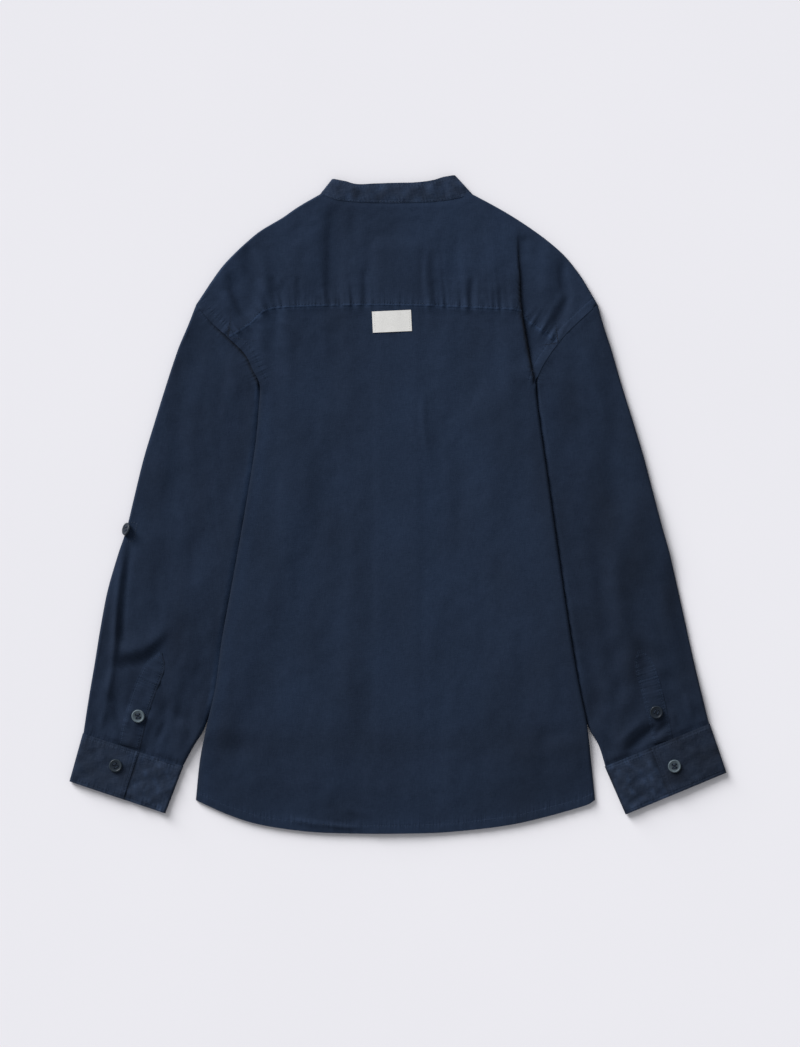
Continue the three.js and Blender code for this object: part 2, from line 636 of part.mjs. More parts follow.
// The collar stand, from its left end at the centre front round the back of the neck to its right end
function collar() {
  const backHeight = LOFT + 0.4;
  const seams = curveThrough(collarFront.map((row) => ({ x: row.seamX, y: row.seamY })));
  const edges = curveThrough(collarFront.map((row) => ({ x: row.edgeX, y: row.edgeY })));
  const half = steps(7).map((t) => {
    const [seam, edge] = [seams.getPoint(t), edges.getPoint(t)];
    return { seamX: seam.x, seamY: seam.y, edgeX: edge.x, edgeY: edge.y };
  });
  const end = { ...half[0], seamX: -COLLAR_LAP, edgeX: -COLLAR_LAP };
  end.seamY += 0.6;
  end.edgeY += 0.6;
  const stations = [];
  const layHalf = (sign, rows) => {
    for (const row of rows) {
      const lap = 1 - smoothstep(row.seamX, COLLAR_LAP + 2, COLLAR_LAP + 20);
      const onOther = sign > 0 ? (BAND + GAP) * lap : 0;
      const z = BUTTON_RAISE * overButtons(row.seamX, row.seamY) + onOther;
      stations.push({ ...row, seamX: sign * row.seamX, edgeX: sign * row.edgeX, z });
    }
  };
  const foldRound = (row, sign, angles) => {
    const radius = backHeight / 2;
    for (const angle of angles) {
      const out = radius * (Math.sin(degToRad(angle)) - 1) * sign;
      const z = radius - radius * Math.cos(degToRad(angle));
      stations.push({ ...row, seamX: row.seamX + out, edgeX: row.edgeX + out, z });
    }
  };
  layHalf(-1, [end, ...half]);
  foldRound(collarBack[0], -1, [20, 55, 90, 125, 160]);
  collarBack.slice(1, -1).forEach((row) => stations.push({ ...row, z: backHeight + 0.2 }));
  foldRound(collarBack.at(-1), 1, [160, 125, 90, 55, 20]);
  layHalf(1, [...half.reverse(), end]);
  const grid = [0, 0.5, 1].map((s) =>
    stations.map(
      ({ seamX, seamY, edgeX, edgeY, z }) =>
        new THREE.Vector3(lerp(edgeX, seamX, s), lerp(edgeY, seamY, s), z),
    ),
  );
  return clothWall(grid, BAND);
}

// A strip that lies on a sleeve: its sides stand off the middle line, and it follows the sleeve's surface
function sleevePlacket(side) {
  const rows = [...plackets[side]].reverse();
  const curve = curveThrough(rows);
  const halves = new THREE.SplineCurve(rows.map((row, i) => new THREE.Vector2(i / (rows.length - 1), row.half)));
  const grid = [0, 0.12, 0.25, 0.4, 0.55, 0.7, 0.85, 1].map((v) => {
    const middle = curve.getPoint(v);
    const tangent = curve.getTangent(v);
    const half = halves.getPoint(v).y;
    return [-1, -0.5, 0, 0.5, 1].map((s) => {
      const x = middle.x - tangent.y * half * s;
      const y = middle.y + tangent.x * half * s;
      return new THREE.Vector3(x, y, sleeveTop(side, x, y) + GAP + 0.3 + CLOTH);
    });
  });
  grid.forEach((row) => row.sort((a, b) => a.x - b.x));
  return clothWall(grid, CLOTH);
}

function label() {
  const turn = degToRad(labelPlace.turn);
  const grid = [0.5, 0, -0.5].map((v) =>
    [-0.5, -0.17, 0.17, 0.5].map((u) => {
      const [dx, dy] = [u * labelPlace.width, v * labelPlace.height];
      const x = labelPlace.x + dx * Math.cos(turn) - dy * Math.sin(turn);
      const y = labelPlace.y + dx * Math.sin(turn) + dy * Math.cos(turn);
      return new THREE.Vector3(x, y, backTop(x, y) + GAP + 0.2 + CLOTH);
    }),
  );
  return clothWall(grid, CLOTH);
}

function solidOf(geometry) {
  const bare = geometry.clone().deleteAttribute("normal").deleteAttribute("uv");
  const merged = mergeVertices(bare, 1e-4);
  return new wasm.Manifold(
    new wasm.Mesh({
      numProp: 3,
      vertProperties: merged.getAttribute("position").array,
      triVerts: new Uint32Array(merged.index.array),
    }),
  );
}

// A sew-through button, flat side down, with a raised rim. With holes it has four of them.
function button(segments, withHoles) {
  const r = BUTTON_RADIUS;
  const h = BUTTON_HEIGHT;
  const profile = [
    [0, 0],
    [r - 0.7, 0],
    [r, 0.6],
    [r - 0.25, h - 0.3],
    [r - 0.9, h],
    [r - 1.7, h - 0.45],
    [0, h - 0.5],
  ];
  const points = profile.map(([x, y]) => new THREE.Vector2(x, y));
  const disc = new THREE.LatheGeometry(points, segments).rotateX(Math.PI / 2);
  if (!withHoles) return disc;
  const holeRadius = 0.75;
  const holeOffset = 1.45;
  let solid = solidOf(disc);
  for (const dx of [-holeOffset, holeOffset])
    for (const dy of [-holeOffset, holeOffset]) {
      const hole = new THREE.CylinderGeometry(holeRadius, holeRadius, 3 * h, 6);
      hole.rotateX(Math.PI / 2).translate(dx, dy, 0);
      solid = solid.subtract(solidOf(hole));
    }
  const mesh = solid.getMesh();
  const geometry = new THREE.BufferGeometry();
  geometry.setAttribute("position", new THREE.BufferAttribute(mesh.vertProperties, 3));
  geometry.setIndex(new THREE.BufferAttribute(mesh.triVerts, 1));
  geometry.computeVertexNormals();
  return geometry;
}

const navyCloth = new THREE.MeshStandardMaterial({ color: 0x202c40, roughness: 0.85, metalness: 0 });
const navyBand = new THREE.MeshStandardMaterial({ color: 0x232f42, roughness: 0.85, metalness: 0 });
const buttonPlastic = new THREE.MeshStandardMaterial({ color: 0x1d2738, roughness: 0.35, metalness: 0 });
const labelCotton = new THREE.MeshStandardMaterial({ color: 0xe4e3df, roughness: 0.9, metalness: 0 });

const shirt = new THREE.Group();
shirt.name = "mandarin_collar_shirt";

function add(name, geometry, material) {
  const mesh = new THREE.Mesh(geometry, material);
  mesh.name = name;
  shirt.add(mesh);
  return mesh;
}

add("back", lowerBack(), navyCloth);
add("back_yoke", yoke(), navyCloth);
add("collar_stand", collar(), navyBand);
for (const side of ["left", "right"]) {
  add(`front_${side}`, front(side), navyCloth);
  add(`sleeve_${side}`, sleeve(side), navyCloth);
  add(`cuff_${side}`, cuff(side), navyBand);
  add(`sleeve_placket_${side}`, sleevePlacket(side), navyBand);
  const holed = () => button(20, true);
  const cuffHeight = 3 * BAND + 2 * GAP + GAP;
  const onCuff = cuffButtons[side];
  add(`cuff_button_${side}`, holed(), buttonPlastic).position.set(onCuff.x, onCuff.y, cuffHeight);
  const onPlacket = placketButtons[side];
  const placketHeight = sleeveTop(side, onPlacket.x, onPlacket.y) + CLOTH + 2 * GAP + 0.5;
  add(`placket_button_${side}`, holed(), buttonPlastic).position.set(
    onPlacket.x,
    onPlacket.y,
    placketHeight,
  );
}
add("back_label", label(), labelCotton);

// The left tab button leans on the sleeve's outer fold, with its lower rim down and turned along the fold.
// The right one lies under the sleeve.
const lean = degToRad(TAB_LEAN);
const turn = degToRad(TAB_TURN);
const foldRadius = SLEEVE_LOFT / 2;
const leanHeight = BUTTON_RADIUS * Math.sin(lean) + 0.2;
const leanOut = (foldRadius + GAP + 0.2 - Math.cos(lean) * (leanHeight - foldRadius)) / Math.sin(lean);
const leftTab = add("tab_button_left", button(20, true), buttonPlastic);
leftTab.rotation.set(0, -lean, turn, "ZYX");
leftTab.position.set(
  tabButtons.left.x + (foldRadius - leanOut) * Math.cos(turn),
  tabButtons.left.y + (foldRadius - leanOut) * Math.sin(turn),
  leanHeight,
);
const rightTab = add("tab_button_right", button(14, false), buttonPlastic);
rightTab.rotation.x = Math.PI;
rightTab.position.set(tabButtons.right.x, tabButtons.right.y, BUTTON_HEIGHT);

// The front's buttons lie between the left front and the surface, face down
[COLLAR_BUTTON_Y, ...frontButtonYs].forEach((y, i) => {
  const name = i ? `front_button_${i}` : "collar_button";
  const mesh = add(name, button(14, false), buttonPlastic);
  mesh.rotation.x = Math.PI;
  mesh.position.set(0, y, BUTTON_HEIGHT);
});

export default shirt;
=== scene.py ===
import math
import bpy
import numpy as np
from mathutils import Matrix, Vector


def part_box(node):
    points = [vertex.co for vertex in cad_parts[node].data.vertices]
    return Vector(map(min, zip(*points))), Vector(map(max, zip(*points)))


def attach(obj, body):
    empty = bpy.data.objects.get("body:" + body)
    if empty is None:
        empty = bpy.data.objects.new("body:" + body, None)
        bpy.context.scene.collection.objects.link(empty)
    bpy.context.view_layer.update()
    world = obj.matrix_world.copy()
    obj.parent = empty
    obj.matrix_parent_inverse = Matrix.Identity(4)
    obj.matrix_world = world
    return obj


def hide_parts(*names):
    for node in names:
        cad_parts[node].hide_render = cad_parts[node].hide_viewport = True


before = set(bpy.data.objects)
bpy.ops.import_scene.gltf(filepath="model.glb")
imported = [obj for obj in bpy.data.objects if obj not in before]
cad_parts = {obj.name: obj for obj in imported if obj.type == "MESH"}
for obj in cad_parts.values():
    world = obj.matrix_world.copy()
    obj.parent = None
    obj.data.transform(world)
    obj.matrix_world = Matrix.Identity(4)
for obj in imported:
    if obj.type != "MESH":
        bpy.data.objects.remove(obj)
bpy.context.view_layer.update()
mm = 0.001
pi = math.pi

# heights of the laid layers
gap = 0.3
layer = 1.0
band = 1.5
loft = 5.0
hemLoft = 2.8
sleeveLoft = 4.8
tuckedLoft = 2.6  # the part of a sleeve that lies under the body's side
sideRound = 3.2
buttonHeight = 1.8
buttonRaise = buttonHeight + gap

# places on the body, and distances on the cloth
shoulderTop = 273
armholeTop = 176
underarm = 105
capEnd = (84, 78)  # where the sleeve's cap ends under the body
hemCorner = -260
frontLap = 12.5
seamRow = 7.2  # from the armhole seam or the hem to its row of stitches
yokeRow = 1.8
threadLift = 0.05  # how far the stitches stand over the cloth
bandLift = 0.06
farOff = 60.0  # stands for no stitching near
bothSides = ("left", "right")
signOf = {"left": -1, "right": 1}

# the two edges of the body from the collar to the hem
bodyEdges = {
    "y": [273, 262, 252, 241, 231, 220, 210, 199, 188, 176, 161, 148, 132, 118, 105, 87, 60, 34,
          -20, -80, -120, -160, -193, -225, -260],
    "left": [-68.4, -87.5, -102, -120.5, -132.9, -144.6, -154, -162.1, -169.5, -177.4, -165, -150.5,
             -134.4, -127.5, -121.4, -122.2, -124.4, -128, -137, -147.8, -155, -160.3, -167.8,
             -174.2, -177.8],
    "right": [65.4, 86, 103, 119.5, 132.9, 145.4, 154, 162, 168.6, 175.6, 159, 145.9, 133.6, 125.3,
              121.2, 122.8, 126.4, 130.2, 137.8, 146.4, 152.5, 159.4, 166.1, 169.9, 173.4],
}
hemLine = {
    "x": [-177.8, -149.6, -121.4, -79.2, -37, 5.3, 47.5, 103.8, 160.2, 173.4],
    "y": [-260, -272.6, -281.5, -287.7, -289.4, -289.4, -287.8, -280.8, -266.2, -260],
}
yokeLine = {
    "x": [-139, -128, -118, -100, -40, 20, 80, 106, 114, 127],
    "y": [152.5, 160.5, 169.5, 173.5, 175.3, 175, 172.5, 170.5, 161.5, 152],
}
yokeEnd = {"left": 147, "right": 142}
# outer and inner folds of the sleeves, the inner ones covered by the body above y = -193
sleeveOuter = {
    "y": [176, 157, 136, 104, 73, 41, 9, -22, -44, -75, -107, -139, -170],
    "left": [-177.4, -184.8, -193.6, -204.2, -213.8, -223.5, -231.4, -238.9, -246.2, -255.2,
             -261.4, -266.6, -271.9],
    "right": [175.6, 180.9, 187.8, 197.1, 206.8, 216.5, 224.8, 233, 239.2, 246.4, 253.4, 260.5,
              268],
}
sleeveInner = {
    "y": [78, 40, 0, -40, -80, -120, -160, -196, -212],
    "left": [-84, -93.5, -105, -117.5, -131, -144.5, -157.5, -169.8, -179.3],
    "right": [84, 92.5, 103, 115, 128, 141, 154.5, 167.6, 176.6],
}
cuffCorners = {
    "left": {"sleeveOuter": (-277.4, -201.0), "sleeveInner": (-188.8, -230.2),
             "wristOuter": (-289.2, -243.4), "wristInner": (-204.6, -271.6)},
    "right": {"sleeveOuter": (274.4, -192.4), "sleeveInner": (181.8, -230.4),
              "wristOuter": (289.2, -235.6), "wristInner": (200.2, -272.6)},
}


def cuffSeam(side):
    return np.array([cuffCorners[side]["sleeveOuter"], cuffCorners[side]["sleeveInner"]])


# the fold from the yoke down to the right armhole
shoulderFold = {
    "y": [245, 224, 204, 182, 166, 132, 112, 104],
    "x": [105.2, 105.6, 106.4, 106.8, 108.6, 114.4, 118.5, 120.0],
    "step": [0, 0.9, 2.0, 2.4, 2.5, 2.6, 2.6, 0],
}
tabRight = (226.0, -24.0)


def smooth(value, low, high):
    t = np.clip((value - low) / (high - low), 0, 1)
    return t * t * (3 - 2 * t)


def lerp(a, b, t):
    return a + (b - a) * t


def bell(value, width, middle=0):
    return np.exp(-((value - middle) / width) ** 2)


def softMax(a, b, k):
    # the higher of two, rounded where they meet
    return 0.5 * (a + b + np.sqrt((a - b) ** 2 + k * k)) - 0.25 * k


def column(table, name, y):
    return np.interp(y, table["y"][::-1], table[name][::-1])


def bySide(table, x, y):
    return np.where(x < 0, column(table, "left", y), column(table, "right", y))


def spline(points, steps=14):
    # a smooth line through the points
    p = np.array(points, float)
    p = np.vstack([2 * p[0] - p[1], p, 2 * p[-1] - p[-2]])
    parts = []
    t = np.linspace(0, 1, steps, endpoint=False)[:, None]
    for i in range(len(p) - 3):
        a, b, c, d = p[i:i + 4]
        parts.append(0.5 * (2 * b + (c - a) * t + (2 * a - 5 * b + 4 * c - d) * t**2
                            + (3 * b - a - 3 * c + d) * t**3))
    return np.vstack(parts + [p[-2:-1]])


def through(xs, ys, steps=14):
    return spline(list(zip(xs, ys)), steps)


def unit(rows):
    return rows / np.linalg.norm(rows, axis=-1, keepdims=True)


def arc(line):
    # a line as a function of the share of its length
    steps = np.hypot(*np.diff(line, axis=0).T[:2])
    share = np.concatenate([[0], np.cumsum(steps)]) / steps.sum()
    return lambda t: np.stack([np.interp(t, share, line[:, k]) for k in range(line.shape[1])], -1)


def stretchOf(table, side, top, bottom):
    # the part of a table's edge between two heights
    between = [(x, y) for x, y in zip(table[side], table["y"]) if bottom + 1 < y < top - 1]
    return [(float(column(table, side, top)), top), *between,
            (float(column(table, side, bottom)), bottom)]


def patch(top, bottom, first, second, across, down, ease=1):
    # a panel between four lines, across and down may be whole grids of shares
    t, low = top(across), bottom(across)
    a, b = first(down), second(down)
    g = (1 - (1 - across) ** ease)[..., None]
    v = down[..., None]
    ends = lerp(lerp(top(0.0), top(1.0), g), lerp(bottom(0.0), bottom(1.0), g), v)
    return lerp(a, b, g) + lerp(t, low, v) - ends


def nearLine(line, x, y):
    # distance to a line and the run along it, the line's left side counts as positive
    best = np.full(x.shape, 1e9)
    signed, run, start = np.zeros(x.shape), np.zeros(x.shape), 0.0
    for (x0, y0), (x1, y1) in zip(line[:-1, :2], line[1:, :2]):
        dx, dy = x1 - x0, y1 - y0
        length = math.hypot(dx, dy) or 1e-9
        t = np.clip(((x - x0) * dx + (y - y0) * dy) / length**2, 0, 1)
        away = np.hypot(x - x0 - t * dx, y - y0 - t * dy)
        turn = dx * (y - y0) - dy * (x - x0)
        closer = away < best
        best = np.where(closer, away, best)
        signed = np.where(closer, np.sign(turn) * away, signed)
        run = np.where(closer, start + t * length, run)
        start += length
    return signed, run


def crease(x0, y0, x1, y1, width, height, bend=0, back=1):
    # a fold from one point to another, a trough if its height is under 0: bend moves its middle
    # sideways and back widens its left flank
    return x0, y0, x1, y1, width, height, bend, back


def foldHeight(creases, x, y):
    total = np.zeros(np.shape(x))
    for x0, y0, x1, y1, width, height, bend, back in creases:
        dx, dy = x1 - x0, y1 - y0
        length = math.hypot(dx, dy)
        t = ((x - x0) * dx + (y - y0) * dy) / length**2
        off = ((x - x0) * dy - (y - y0) * dx) / length - bend * np.sin(pi * np.clip(t, 0, 1))
        fade = smooth(t, -0.12, 0.3) * (1 - smooth(t, 0.65, 1.12))
        total = total + height * fade * bell(off, np.where(off > 0, width, width * back))
    return total


def rumple(x, y, seed, size, turn=0.0, stretch=1.0, low=16, high=70):
    # slow uneven waves, longer along the turned axis
    rng = np.random.default_rng(seed)
    u = (x * math.cos(turn) + y * math.sin(turn)) / stretch
    w = -x * math.sin(turn) + y * math.cos(turn)
    total = np.zeros(np.shape(x))
    for _ in range(14):
        angle, wave, phase = rng.uniform(0, 2 * pi), rng.uniform(low, high), rng.uniform(0, 2 * pi)
        along = u * math.cos(angle) + w * math.sin(angle)
        aside = u * math.sin(angle) - w * math.cos(angle)
        bend = 0.6 * np.sin(2 * pi * aside / (wave * 2.3) + phase)
        total += wave / high * np.sin(2 * pi * along / wave + phase + bend)
    return size * total / 3.2


def puckers(run, seed):
    # short uneven gathers along a seam
    rng = np.random.default_rng(seed)
    total = np.zeros(np.shape(run))
    for wave, weight in ((5.2, 0.6), (6.9, 0.9), (9.3, 1.1), (14.5, 1.3)):
        swell = 0.5 + 0.5 * np.sin(2 * pi * run / rng.uniform(30, 90) + rng.uniform(0, 6))
        total += weight * swell * np.sin(2 * pi * run / wave + rng.uniform(0, 6)
                                         + 1.2 * np.sin(run / rng.uniform(9, 16)))
    return total / 2.2


def hemAt(x):
    return np.interp(x, hemLine["x"], hemLine["y"])


def overSleeve(x, y):
    reach = np.abs(x)
    inner = np.abs(bySide(sleeveInner, x, y))
    crossing = np.abs(bySide(bodyEdges, x, underarm))
    slope = (underarm - capEnd[1]) / (crossing - capEnd[0])
    capY = capEnd[1] + slope * (reach - capEnd[0])
    return (1 - smooth(inner - reach, 16, 44)) * (1 - smooth(y - capY, 14, 36)) * smooth(y, -234, -203)


def overButtons(x, y):
    return (1 - smooth(np.abs(x), 14, 34)) * smooth(y, -252, -200)


def frontUnder(x, y):
    return (tuckedLoft + 1.5 * gap) * overSleeve(x, y) + buttonRaise * overButtons(x, y)


def rightFrontUnder(x, y):
    return frontUnder(x, y) + (layer + gap) * (1 - smooth(x, frontLap + 4, frontLap + 24))


def frontStack(x, y):
    overlap = 1 - smooth(np.abs(x), frontLap + 4, frontLap + 24)
    collar = smooth(y, 176, 203) * (1 - smooth(np.abs(x), 70, 90))
    layers = layer + collar * (band - layer)
    # nothing lies under the back inside the neck opening
    neck = smooth(y, 224, 252) * (1 - smooth(np.abs(x), 34, 56))
    return (frontUnder(x, y) + layers + overlap * (layers + gap)) * (1 - neck)


def foldLine(y):
    return column(shoulderFold, "x", y)


def foldDepth(y):
    return np.where(y > shoulderFold["y"][0], 0, column(shoulderFold, "step", y))


def foldStep(x, y):
    # the cloth is higher to the left of the fold
    step = foldDepth(y)
    off = x - foldLine(y)
    high = 0.6 * step * np.exp(np.minimum(off, 0) / 20)
    low = -1.1 * step * np.exp(-np.maximum(off, 0) / 22)
    return lerp(high, low, smooth(off, -4, 4))


bodyCreases = [
    crease(-119, 216, -119, 118, 6, 1.0, bend=2),
    crease(-110, 205, -108, 140, 4, -0.7, bend=-2),
    crease(-57, 262, -59, 172, 5, -2.0, back=2.4),
    crease(-48, 255, -52, 182, 7, 0.4),
    crease(-74, 252, -72, 188, 8, 0.7),
    crease(-40, 262, -37, 222, 5, -0.7),
    crease(15, 200, 18, 172, 3.2, -1.5),
    crease(25, 222, 28, 172, 4, 1.0, bend=2),
    crease(-29, 206, -27, 174, 3, -0.9),
    crease(-88, 200, -86, 172, 3, -0.8),
    crease(-102, 196, -101, 170, 3, -0.8),
    crease(66, 202, 64, 173, 3, -0.8),
    crease(52, 244, 49, 182, 7, -0.5),
    crease(83, 236, 86, 178, 8, 0.5),
    crease(4, 252, 2, 186, 9, 0.35),
    crease(-92, 236, -84, 182, 7, 0.45),
    crease(-137, 230, -118, 188, 4.2, -1.9, bend=1.5),
    crease(-151, 204, -131, 158, 4.4, -1.8, back=1.6),
    crease(-160, 204, -143, 168, 5, 0.9),
    crease(-127, 222, -110, 186, 5, 0.9),
    crease(145, 214, 150, 180, 4, -1.9, bend=2),
    crease(151, 184, 137, 152, 4, -1.7),
    crease(132, 228, 128, 180, 6, 0.6),
    crease(110, 236, 111, 214, 5, -0.9),
    crease(-105.6, 164, -85.4, 141, 3.2, 0.5, bend=-2),
    crease(-98, 168, -96, 96, 7, 0.6),
    crease(-66, 168, -62, 120, 5, 0.4),
    crease(22, 98, 27, 42, 3.2, 0.5, bend=2),
    crease(-6, 4, 2, -50, 5, 0.45, bend=-3),
    crease(48, 166, 40, 80, 8, 0.4, bend=5),
    crease(96, 150, 104, 40, 9, 0.5),
    crease(104, 30, 122, -90, 10, -0.5, bend=4),
    crease(-112, 60, -122, -70, 9, -0.5, bend=-4),
    crease(-170, -206, -134, -216, 6, -0.7, bend=3),
    crease(-166, -196, -120, -202, 7, 0.5),
    crease(122, -205, 168, -201, 6, -0.8, bend=-3),
    crease(96, -222, 150, -214, 7, 0.5),
    crease(-96, -277, -66, -282, 2.4, 0.9),
    crease(-70, -280, -34, -284, 2.2, 0.9, bend=1),
    crease(-50, -268, -20, -276, 3.4, 0.6, bend=-2),
    crease(-30, -60, -44, -190, 14, 0.5, bend=8),
    crease(60, -40, 78, -180, 13, -0.45, bend=-9),
]

armholes = {
    side: spline(stretchOf(bodyEdges, side, armholeTop, underarm)) for side in bothSides
}
yokeSeam = spline([(float(column(bodyEdges, "left", yokeEnd["left"])), yokeEnd["left"]),
                   *zip(yokeLine["x"], yokeLine["y"]),
                   (float(column(bodyEdges, "right", yokeEnd["right"])), yokeEnd["right"])])


def armDistance(x, y):
    # from the armhole seams into the body
    left, runLeft = nearLine(armholes["left"], x, y)
    right, runRight = nearLine(armholes["right"], x, y)
    isLeft = x < 0
    return np.where(isLeft, np.abs(left), np.abs(right)), np.where(isLeft, runLeft, runRight)


def backHeight(x, y):
    hem = y - hemAt(x)
    level = lerp(hemLoft, loft, smooth(hem, 2, 46)) + 0.45 * (tuckedLoft + gap) * overSleeve(x, y)
    calm = smooth(hem, 0, 30) * (1 - smooth(y, 240, 262) * (1 - smooth(np.abs(x), 60, 78)))
    shaped = level + foldStep(x, y) + 1.5 * foldHeight(bodyCreases, x, y)
    shaped = shaped + rumple(x, y, 3, 0.7, 1.54, 4.0) * calm + rumple(x, y, 8, 0.16, 0.3, 1.6, 6, 20)
    # seam allowances lie under the armhole's and the yoke's topstitching, and the hem is turned twice
    arm, armRun = armDistance(x, y)
    yoke, yokeRun = nearLine(yokeSeam, x, y)
    shaped = shaped + 0.4 * (1 - smooth(arm, 5.8, 8.2)) + 0.45 * np.exp(-arm / 5) * puckers(armRun, 5)
    above = np.exp(-yoke / 9) + 0.35 * np.exp(-yoke / 26)
    gathered = np.where(yoke > 0, above, 1.35 * np.exp(yoke / 2.4))
    shaped = shaped + 0.95 * gathered * puckers(yokeRun + 0.12 * yoke, 12)
    shaped = shaped + 0.3 * bell(yoke, 5)
    shaped = shaped + 0.3 * (1 - smooth(hem, 6, 8.4)) + 0.3 * np.exp(-hem / 8) * puckers(x, 21)
    return softMax(shaped, frontStack(x, y) + 2 * gap + 0.8, 1.1)


sleeveCreases = {
    "left": [
        crease(-255, -131, -200, -108, 5, 2.1, bend=8, back=2),
        crease(-253, -142, -204, -118, 4.5, -1.4, bend=8),
        crease(-240, -38, -250, -140, 3.2, 1.4, bend=2),
        crease(-235, -34, -244, -132, 3.2, -1.3, bend=2),
        crease(-247, -90, -259, -190, 2.6, 1.0, bend=-2),
        crease(-252, -150, -262, -192, 4, 0.7, bend=3),
        crease(-212, -150, -196, -186, 5, 0.6, bend=-3),
        crease(-206, -172, -184, -192, 5, -1.3, bend=3),
        crease(-258, -166, -244, -196, 4, -1.2, bend=-4),
        crease(-240, -196, -232, -176, 2.8, 0.6),
        crease(-224, -204, -215, -182, 3, 0.6),
        crease(-213, -210, -203, -188, 2.6, -0.6),
        crease(-262, -198, -258, -180, 2.6, 0.5),
        crease(-167, 128, -186, 30, 8, 0.7, bend=4),
        crease(-150, 124, -160, 70, 6, -0.6),
        crease(-190, 90, -204, -10, 9, -0.6, bend=-4),
        crease(-176, 0, -196, -100, 10, 0.7, bend=5),
        crease(-214, -20, -224, -90, 8, 0.5),
        crease(-172, -120, -186, -176, 6, -0.6),
    ],
    "right": [
        crease(229, -192, 199, -218, 3, -2.0, back=1.6),
        crease(220, -186, 192, -211, 4, 1.1),
        crease(238, -190, 224, -206, 3, -1.6),
        crease(176, -31, 196, -172, 8, -1.2, bend=4),
        crease(190, -20, 210, -150, 8, 0.7, bend=4),
        crease(238, -49, 257, -154, 7, -1.2, bend=-3),
        crease(226, -60, 240, -140, 7, 0.8, bend=-3),
        crease(150, 128, 166, 40, 6, -0.6),
        crease(164, 138, 186, 40, 8, 0.7, bend=-4),
        crease(184, 80, 202, -10, 8, -0.5, bend=4),
        crease(252, -166, 262, -192, 4, 0.6),
        crease(200, -168, 190, -206, 5, 0.6),
        crease(244, -196, 240, -180, 2.6, 0.6),
        crease(258, -186, 253, -168, 2.6, 0.5),
    ],
}


def sleeveUnder(side, x, y):
    cuff = nearLine(cuffSeam(side), x, y)[0]
    under = 1.4 * bell(cuff, 2.6)
    if side == "right":
        under = under + buttonRaise * (1 - smooth(np.hypot(x - tabRight[0], y - tabRight[1]), 22, 48))
    return under


# slope is the way the waves run, drop how far the cap's seam lies under the body's surface
sleeveSides = {
    "left": {"slope": 1.32, "waves": 31, "ripples": 43, "drop": 1.35},
    "right": {"slope": 1.82, "waves": 37, "ripples": 47, "drop": 0.4},
}


def sleeveHeight(side, x, y):
    look = sleeveSides[side]
    slope = look["slope"]
    out = np.abs(x) - np.abs(column(bodyEdges, side, np.minimum(y, underarm)))
    below = smooth(underarm - y, 0, 55)
    sunk = 1 - smooth((out - lerp(0.2, 0.5, below)) / lerp(2, 2.2, below), 0, 1)
    sunk = sunk * smooth(y, -228, -198)
    cap, capRun = nearLine(armholes[side], x, y)
    cap = np.abs(cap)
    cuff, cuffRun = nearLine(cuffSeam(side), x, y)
    cuff = np.abs(cuff)
    detail = 1.5 * foldHeight(sleeveCreases[side], x, y)
    detail = detail + rumple(x, y, look["waves"], 0.85, slope, 2.6)
    detail = detail + rumple(x, y, 41, 0.16, slope, 1.5, 6, 18)
    lower = smooth(-y, 85, 150)
    detail = detail + lower * rumple(x, y, look["ripples"], 0.5, slope, 1.4, 9, 26)
    detail = detail + 0.45 * np.exp(-cap / 6) * puckers(capRun, 6)
    detail = detail + 0.9 * np.exp(-cuff / 9) * puckers(cuffRun * 0.6, 15)
    free = sleeveLoft + 0.5 * sleeveUnder(side, x, y) + detail * (1 - 0.9 * sunk)
    free = lerp(free, backHeight(x, y) - look["drop"], bell(cap, 4.5) * smooth(y, 100, 108))
    free = lerp(free, 3.5, bell(cuff, 3))
    return lerp(free, tuckedLoft, sunk)


# materials
def startMaterial(name, roughness, sheen=0.0, specular=0.18):
    material = bpy.data.materials.new(name)
    material.use_nodes = True
    shader = material.node_tree.nodes["Principled BSDF"]
    for socket, value in (("Roughness", roughness), ("Sheen Weight", sheen), ("Sheen Roughness", 0.5),
                          ("Sheen Tint", (0.75, 0.82, 1.0, 1)), ("Specular IOR Level", specular)):
        shader.inputs[socket].default_value = value
    return material, material.node_tree, shader


def addNode(tree, kind, feeds):
    # each socket takes another node's output or a plain value
    node = tree.nodes.new(kind)
    for socket, value in feeds.items():
        if isinstance(value, bpy.types.NodeSocket):
            tree.links.new(value, node.inputs[socket])
        elif value is not None:
            node.inputs[socket].default_value = value
    return node


def noiseNode(tree, coords, detail, stretch=(1, 1, 1), scale=1.0):
    mapping = addNode(tree, "ShaderNodeMapping", {"Vector": coords, "Scale": stretch})
    feeds = {"Vector": mapping.outputs["Vector"], "Scale": scale, "Detail": detail}
    return addNode(tree, "ShaderNodeTexNoise", feeds).outputs["Fac"]


def mathNode(tree, kind, a, b=None):
    node = addNode(tree, "ShaderNodeMath", {0: a, 1: b})
    node.operation = kind
    return node.outputs[0]


def attributeNode(tree, name):
    node = tree.nodes.new("ShaderNodeAttribute")
    node.attribute_name = name
    return node.outputs["Fac"]


def rampNode(tree, fac, dark, light, low=0.0, high=1.0):
    ramp = addNode(tree, "ShaderNodeValToRGB", {"Fac": fac})
    for element, position, colour in zip(ramp.color_ramp.elements, (low, high), (dark, light)):
        element.position = position
        element.color = (*colour, 1)
    return ramp.outputs["Color"]


def bumpNode(tree, height, strength, distance, over=None):
    feeds = {"Height": height, "Strength": strength, "Distance": distance, "Normal": over}
    return addNode(tree, "ShaderNodeBump", feeds).outputs["Normal"]


clothLook = {"grooves": {"lineA": 2.2, "lineB": 1.0, "lineC": 1.4}, "weave": 0.35, "rubbed": 0.28}


